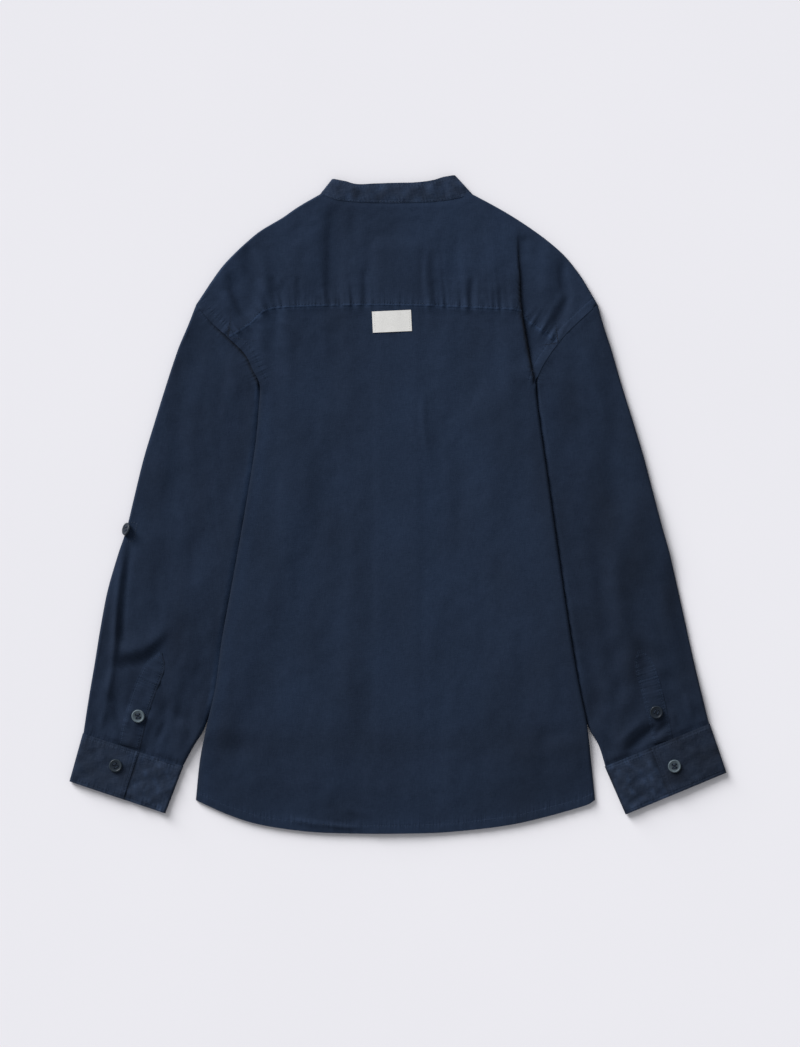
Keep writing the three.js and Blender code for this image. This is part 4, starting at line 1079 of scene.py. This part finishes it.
def cuffGrid(side):
    look = cuffSides[side]
    corners = {k: np.array(v) for k, v in cuffCorners[side].items()}
    down = np.linspace(0, 1, 25)[:, None]
    outer = lerp(corners["sleeveOuter"], corners["wristOuter"], down)
    inner = lerp(corners["sleeveInner"], corners["wristInner"], down)
    width = np.hypot(*(inner - outer).T)[:, None]
    lapAt = cuffPiece["lap"] * width
    high, outTop = 5.1, 4.6
    reach = high / 2

    def overTop(a):
        return high - 0.5 * smooth((lapAt - a) / lapAt, 10 / 54, 1)

    def underTop(a):
        past = a - lapAt
        return lerp(lerp(3.1, 4.2, smooth(past, -6, -0.5)), sleeveLoft - 0.35, smooth(past, 4, 24))

    inTop = underTop(width)
    over = lerp(lapAt, reach, np.linspace(0, 1, 34)[None, :])
    below = lerp(reach, width - inTop / 2, np.linspace(0, 1, 24)[None, :])
    under = lerp(width - inTop / 2, lapAt - cuffPiece["under"], np.linspace(0, 1, 40)[None, :])
    parts = [
        (over, overTop(over), 1),
        (reach - outTop / 2 * np.sin(halfTurn), outTop / 2 * (1 + np.cos(halfTurn)), 0),
        (below, 0 * below, 0),
        (width - inTop / 2 * (1 - np.sin(halfTurn)), inTop / 2 * (1 - np.cos(halfTurn)), 0),
        (under, underTop(under), 2),
    ]
    across, z = (np.concatenate([p[k] + 0 * width for p in parts], axis=1) for k in (0, 1))
    kind = np.concatenate([np.full(p[0].shape[1], p[2]) for p in parts])[None, :] + 0 * width
    spot = lerp(outer[:, None, :], inner[:, None, :], (across / width)[..., None])
    x, y = planOf(spot)
    edge = np.minimum(down, 1 - down)
    shown = np.where(kind == 2, smooth(across - lapAt, 0, 3), smooth(z, 2.4, 3.2))
    shown = np.where(kind == 1, 1.0, shown)
    crumple = rumple(x, y, look["waves"], 0.5, 0.4, 1.5, 5, 18)
    crumple = crumple + 0.35 * np.exp(-down / 0.25) * puckers(across, look["waves"])
    crumple = crumple * np.where(kind == 1, 0.6, 1.1) * (1 - 0.7 * np.exp(-np.abs(lapAt - across) / 3))
    crumple = crumple + foldHeight(cuffCreases[side], x, y)
    roll = -0.45 * np.exp(-edge / 0.035)
    nearLap = np.where(kind == 1, -0.3 * np.exp(-np.abs(lapAt - across) / 1.2), 0)
    grid = np.stack([x, y, z + shown * (np.clip(crumple, -0.6, 1.1) + roll) + nearLap], -1)
    tone = look["tone"] + rumple(x, y, look["shades"], 0.14, 0.4, 1.4, 6, 26)
    # the under part is paler, with speckles of painted highlight where its crumples catch the light
    crumpleHighlights = np.maximum(0, rumple(x, y, 75, 0.36, 0.9, 1.5, 3.5, 10))
    tone = tone + (kind == 2) * (look["under"] + crumpleHighlights)
    # painted shadow on the under part beside the lap's edge
    tone = tone - 0.35 * (kind == 2) * bell(across - lapAt, 1.3, 0.8)
    deep, rowIn = cuffPiece["depth"], cuffPiece["row"]
    lines = {"lineA": edge * deep - rowIn + 0 * x, "run": across, "tone": tone,
             "lineB": np.where(kind == 1, np.abs(lapAt - across) - rowIn, farOff)}
    thin = np.where(kind == 1, 1 - smooth(lapAt - across, 0.5, 6), 0)
    thin = np.maximum(1 - smooth(down * deep, 1.5, 5), thin)
    wall = (cuffPiece["wall"] * (1 - 0.55 * thin))[..., None]
    rows = [grid[2, :34], grid[-3, :34], grid[2, -32:], grid[-3, -32:], grid[2:-2, 1]]
    rows = raised(rows, bandLift)
    if side == "left":
        grid, lines = mirrored(grid, lines)
        wall = wall[:, ::-1]
    return grid, lines, rows, wall


tabLine = [(-237.5, -15.5), (-229.6, -15.9), (-231.8, -32.2), (-240.5, -32.6)]
# the stitched box that holds the sleeve's tab
tabPaths = [np.linspace(a, b, 12) for a, b in zip(tabLine[:-1], tabLine[1:])]
tabRows = [np.column_stack([path, sleeveHeight("left", *path.T) + bandLift]) for path in tabPaths]
stitches("tab_stitching", tabRows, threadPale, 2.2, 1.8, 0.24)

for side in bothSides:
    grid, lines, rows, wall = cuffGrid(side)
    shell(f"cuff_{side}_cloth", grid, wall, navyBand,
                             f"cuff_{side}", lines=lines)
    stitches(f"cuff_{side}_stitching", rows, threadNavy)
print("cuffs made")

# sleeve plackets
placketPiece = {"wall": 0.3, "flat": (0.020, 0.09), "area": 0.0015}
plackets = {
    "left": {"x": [-208.5, -213, -221.5, -230, -236.5], "y": [-130, -141, -160, -185, -212.5],
             "half": [1.5, 8.5, 10, 10, 10], "bumps": 0.6, "turn": -0.33},
    "right": {"x": [212.5, 215.5, 222, 228, 233], "y": [-128, -139, -160, -185, -208.5],
              "half": [1.5, 8, 9, 9, 9], "bumps": 0.3, "turn": 0.25},
}


def placketGrid(side):
    table = plackets[side]
    middle = spline(np.column_stack([table["x"], table["y"], table["half"]]), 14)
    share = np.concatenate([np.linspace(0, 0.12, 8)[:-1], np.linspace(0.12, 1, 44)])
    rows = arc(middle)(share)
    tangent = unit(np.gradient(rows[:, :2], axis=0))
    sideways = np.linspace(-1, 1, 17)[None, :]
    x = rows[:, 0:1] - tangent[:, 1:2] * rows[:, 2:3] * sideways
    y = rows[:, 1:2] + tangent[:, 0:1] * rows[:, 2:3] * sideways
    roll = -0.7 * np.exp(-(1 - np.abs(sideways)) / 0.16)
    bumpy = rumple(x, y, 83, table["bumps"], table["turn"], 3.2, 5, 13) * smooth(y, -200, -180)
    lift = lerp(0.36, 0.6, smooth(-y, 150, 176))
    z = sleeveHeight(side, x, y) + lift + roll * lift + np.maximum(bumpy, -0.08)
    grid = np.stack([x, y, z], -1)
    off = (1 - np.abs(sideways)) * rows[:, 2:3]
    # the open edge of the left placket is in shade
    edgeShade = 1 - 0.5 * (side == "left") * (x > rows[:, 0:1]) * bell(off, 1.3)
    # a row of stitches crosses the placket at row 17 of its points, and lineB is the way from it
    lines = {"lineA": off - 1.6, "lineB": (np.arange(51) - 17.0)[:, None] * 1.6 + 0 * x,
             "run": rows[:, 1:2] + 0 * x, "tone": sleeveTone(x, y) * edgeShade}
    edges = [grid[3:, 2], grid[3:, -3], grid[17, 2:-2], grid[3, 2:-2]]
    edges = raised(edges, bandLift)
    if grid[0, 0, 0] > grid[0, -1, 0]:
        grid, lines = mirrored(grid, lines)
    return grid, lines, edges


for side in bothSides:
    grid, lines, rows = placketGrid(side)
    shell(f"placket_{side}_cloth", grid, placketPiece["wall"], navy,
                                f"sleeve_placket_{side}", lines=lines)
    stitches(f"placket_{side}_stitching", rows, threadNavy, 2.4, 1.8)
print("plackets made")

# label
labelPiece = {"x": -5.3, "y": 161, "width": 34.3, "height": 18.6, "turn": 2.6, "wall": 0.4,
              "flat": (0.0343, 0.0186)}


def labelGrid():
    turn = math.radians(labelPiece["turn"])
    v, u = np.meshgrid(np.linspace(0.5, -0.5, 22), np.linspace(-0.5, 0.5, 38), indexing="ij")
    dx, dy = u * labelPiece["width"], v * labelPiece["height"]
    x = labelPiece["x"] + dx * math.cos(turn) - dy * math.sin(turn)
    y = labelPiece["y"] + dx * math.sin(turn) + dy * math.cos(turn)
    base = lerp(loft + 0.55, backHeight(x, y), 0.35)
    base = np.maximum(base, backHeight(x, y) + 0.05)
    z = base + 0.5 + 0.1 * np.sin(u * 9 + 1) - 0.1 * np.exp(-(0.5 - np.abs(u)) / 0.03)
    return np.stack([x, y, z], -1)


grid = labelGrid()
label = shell("label_cloth", grid, labelPiece["wall"], labelWhite, "back_label")
labelRows = raised([grid[1:-1, 2], grid[1:-1, -3]], threadLift)
stitches("label_stitching", labelRows, threadWhite, 2.0, 1.5, 0.16)
print("label made")

# buttons
buttonPiece = {"radius": 5.75, "height": buttonHeight, "hole": 0.72, "holeOff": 1.45,
               "thread": 0.17}


def buttonMesh():
    r, h = buttonPiece["radius"], buttonPiece["height"]
    # half of the button cut through, from the middle of its underside round to its dished face
    profile = [(0, 0), (r - 1.0, 0), (r - 0.35, 0.2), (r, 0.75), (r - 0.12, h - 0.5),
               (r - 0.45, h - 0.1), (r - 0.8, h), (r - 1.15, h - 0.1), (r - 1.6, h - 0.45),
               (r - 2.2, h - 0.55), (0, h - 0.55)]
    count = 56
    angles = np.linspace(0, 2 * pi, count, endpoint=False)
    verts, faces = [(0, 0, 0)], []
    for radius, z in profile[1:-1]:
        verts += [(radius * math.cos(a), radius * math.sin(a), z) for a in angles]
    verts.append((0, 0, profile[-1][1]))
    rings = len(profile) - 2

    def ring(k, i):
        return 1 + k * count + i % count

    for i in range(count):
        faces.append((0, ring(0, i + 1), ring(0, i)))
        faces.append((len(verts) - 1, ring(rings - 1, i), ring(rings - 1, i + 1)))
        for k in range(rings - 1):
            faces.append((ring(k, i), ring(k, i + 1), ring(k + 1, i + 1), ring(k + 1, i)))
    disc = addMesh("button_shape", np.array(verts), faces, buttonNavy)
    off = buttonPiece["holeOff"]
    for dx in (-off, off):
        for dy in (-off, off):
            bpy.ops.mesh.primitive_cylinder_add(vertices=16, radius=buttonPiece["hole"] * mm,
                                                depth=8 * mm, location=(dx * mm, dy * mm, 0))
            drill = bpy.context.object
            cut = disc.modifiers.new("cut", "BOOLEAN")
            cut.operation, cut.object, cut.solver = "DIFFERENCE", drill, "EXACT"
            bpy.context.view_layer.objects.active = disc
            bpy.ops.object.modifier_apply(modifier="cut")
            bpy.data.objects.remove(drill)
    shape = disc.data
    bpy.data.objects.remove(disc)
    return shape


def threadPaths():
    # two bars over the button, from hole to hole
    off = buttonPiece["holeOff"]
    bars = []
    for dy in (-off, off):
        for nudge in (-0.22, 0.0, 0.22):
            t = np.linspace(-1, 1, 9)
            rise = 1.25 + 0.35 * np.sqrt(1 - (t * 0.98) ** 2)
            bars.append(np.stack([t * off, dy + nudge + 0 * t, rise], -1))
    return bars


def turning(angle, a, b):
    # turns rows of points in the plane of the axes a and b
    matrix = np.eye(3)
    matrix[a, a] = matrix[b, b] = math.cos(angle)
    matrix[a, b], matrix[b, a] = math.sin(angle), -math.sin(angle)
    return matrix


def tube(paths):
    verts, faces = [], []
    radius, sides = buttonPiece["thread"], 6
    for path in paths:
        base = len(verts)
        for i, p in enumerate(path):
            tangent = path[min(i + 1, len(path) - 1)] - path[max(i - 1, 0)]
            side = unit(np.cross(tangent, (0, 1, 0.01)))
            other = unit(np.cross(tangent, side))
            for k in range(sides):
                a = 2 * pi * k / sides
                verts.append(p + radius * (math.cos(a) * side + math.sin(a) * other))
        for i in range(len(path) - 1):
            for k in range(sides):
                q, n = base + i * sides, base + (i + 1) * sides
                faces.append((q + k, q + (k + 1) % sides, n + (k + 1) % sides, n + k))
        faces.append(tuple(base + k for k in range(sides))[::-1])
        faces.append(tuple(base + (len(path) - 1) * sides + k for k in range(sides)))
    return np.array(verts), faces


buttonShape = buttonMesh()
threadVerts, threadFaces = tube(threadPaths())
# how far each button is turned on its thread, in degrees
buttonTurns = {
    "cuff_button_left": 32, "cuff_button_right": 8, "placket_button_left": 12,
    "placket_button_right": 68, "tab_button_left": 20, "tab_button_right": 40, "collar_button": 5,
    "front_button_1": 14, "front_button_2": 80, "front_button_3": 33, "front_button_4": 61,
    "front_button_5": 9, "front_button_6": 47,
}
buttonTilts = {"tab_button_left": (-58, -17)}
# painted highlight on the rims of the buttons that face the light; the others keep darker rims
rimHighlights = {"placket_button_left": 1.0, "cuff_button_right": 0.9, "cuff_button_left": 0.18,
             "placket_button_right": 0.06}
for node, spin in buttonTurns.items():
    low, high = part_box(node)
    middle = (low + high) / 2
    faceDown = node.startswith(("front", "collar")) or node == "tab_button_right"
    tip, swing = np.radians(buttonTilts.get(node, (0, 0)))
    thing = bpy.data.objects.new(f"{node}_round", buttonShape.copy())
    threads = bpy.data.objects.new(f"{node}_thread", bpy.data.meshes.new(f"{node}_thread"))
    threads.data.from_pydata((threadVerts * mm).tolist(), [], threadFaces)
    threads.data.materials.append(threadNavy)
    for piece in (thing, threads):
        mesh = piece.data
        points = np.zeros(len(mesh.vertices) * 3)
        mesh.vertices.foreach_get("co", points)
        points = points.reshape(-1, 3) - (0, 0, buttonHeight / 2 * mm)
        rim = smooth(np.hypot(points[:, 0], points[:, 1]) / mm, 3.0, 3.9) * rimHighlights.get(node, 0.1)
        mesh.attributes.new("rim", "FLOAT", "POINT").data.foreach_set("value", rim.astype(np.float32))
        points = points @ turning(math.radians(spin), 0, 1)
        if faceDown:
            points = points * (1, -1, -1)
        points = points @ turning(tip, 2, 0) @ turning(swing, 0, 1)
        mesh.vertices.foreach_set("co", (points + np.array(middle)).ravel())
        mesh.polygons.foreach_set("use_smooth", [True] * len(mesh.polygons))
        mesh.set_sharp_from_angle(angle=math.radians(35))
        mesh.update()
        addPiece(piece)
    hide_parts(node)
print("buttons made")

# floor, light and camera
bpy.ops.mesh.primitive_plane_add(size=40, location=(0, 0, -0.0004))
floor = bpy.context.object
floor.name = "floor"
floorMaterial = plainMaterial("floorPaper", (0.82, 0.812, 0.852), (0.83, 0.822, 0.862), (3, 3, 3),
                              0.9, 0.02)
floor.data.materials.append(floorMaterial)

world = bpy.data.worlds.new("studio")
bpy.context.scene.world = world
world.use_nodes = True
world.node_tree.nodes["Background"].inputs["Color"].default_value = (0.97, 0.98, 1.0, 1)
world.node_tree.nodes["Background"].inputs["Strength"].default_value = 0.38


def sunLight(name, toward, power, spread):
    light = bpy.data.lights.new(name, "SUN")
    light.energy, light.angle = power, math.radians(spread)
    thing = bpy.data.objects.new(name, light)
    thing.rotation_euler = Vector(toward).to_track_quat("-Z", "Y").to_euler()
    bpy.context.scene.collection.objects.link(thing)


sunLight("key", (0.8, -1.0, -0.72), 3.1, 34)
sunLight("low", (0.85, -1.0, -0.34), 1.9, 24)

view = {"centre": (0.0018, -0.0167), "away": 4.0, "tall": 0.9214, "sensor": 24}
camera = bpy.data.objects.new("camera", bpy.data.cameras.new("camera"))
camera.data.sensor_fit = "VERTICAL"
camera.data.sensor_height = camera.data.sensor_width = view["sensor"]
camera.data.lens = view["sensor"] * view["away"] / view["tall"]
camera.location = (*view["centre"], view["away"])
camera.data.clip_end = 50
bpy.context.scene.collection.objects.link(camera)
bpy.context.scene.camera = camera
bpy.context.scene.view_settings.view_transform = "Standard"
print("stage made")
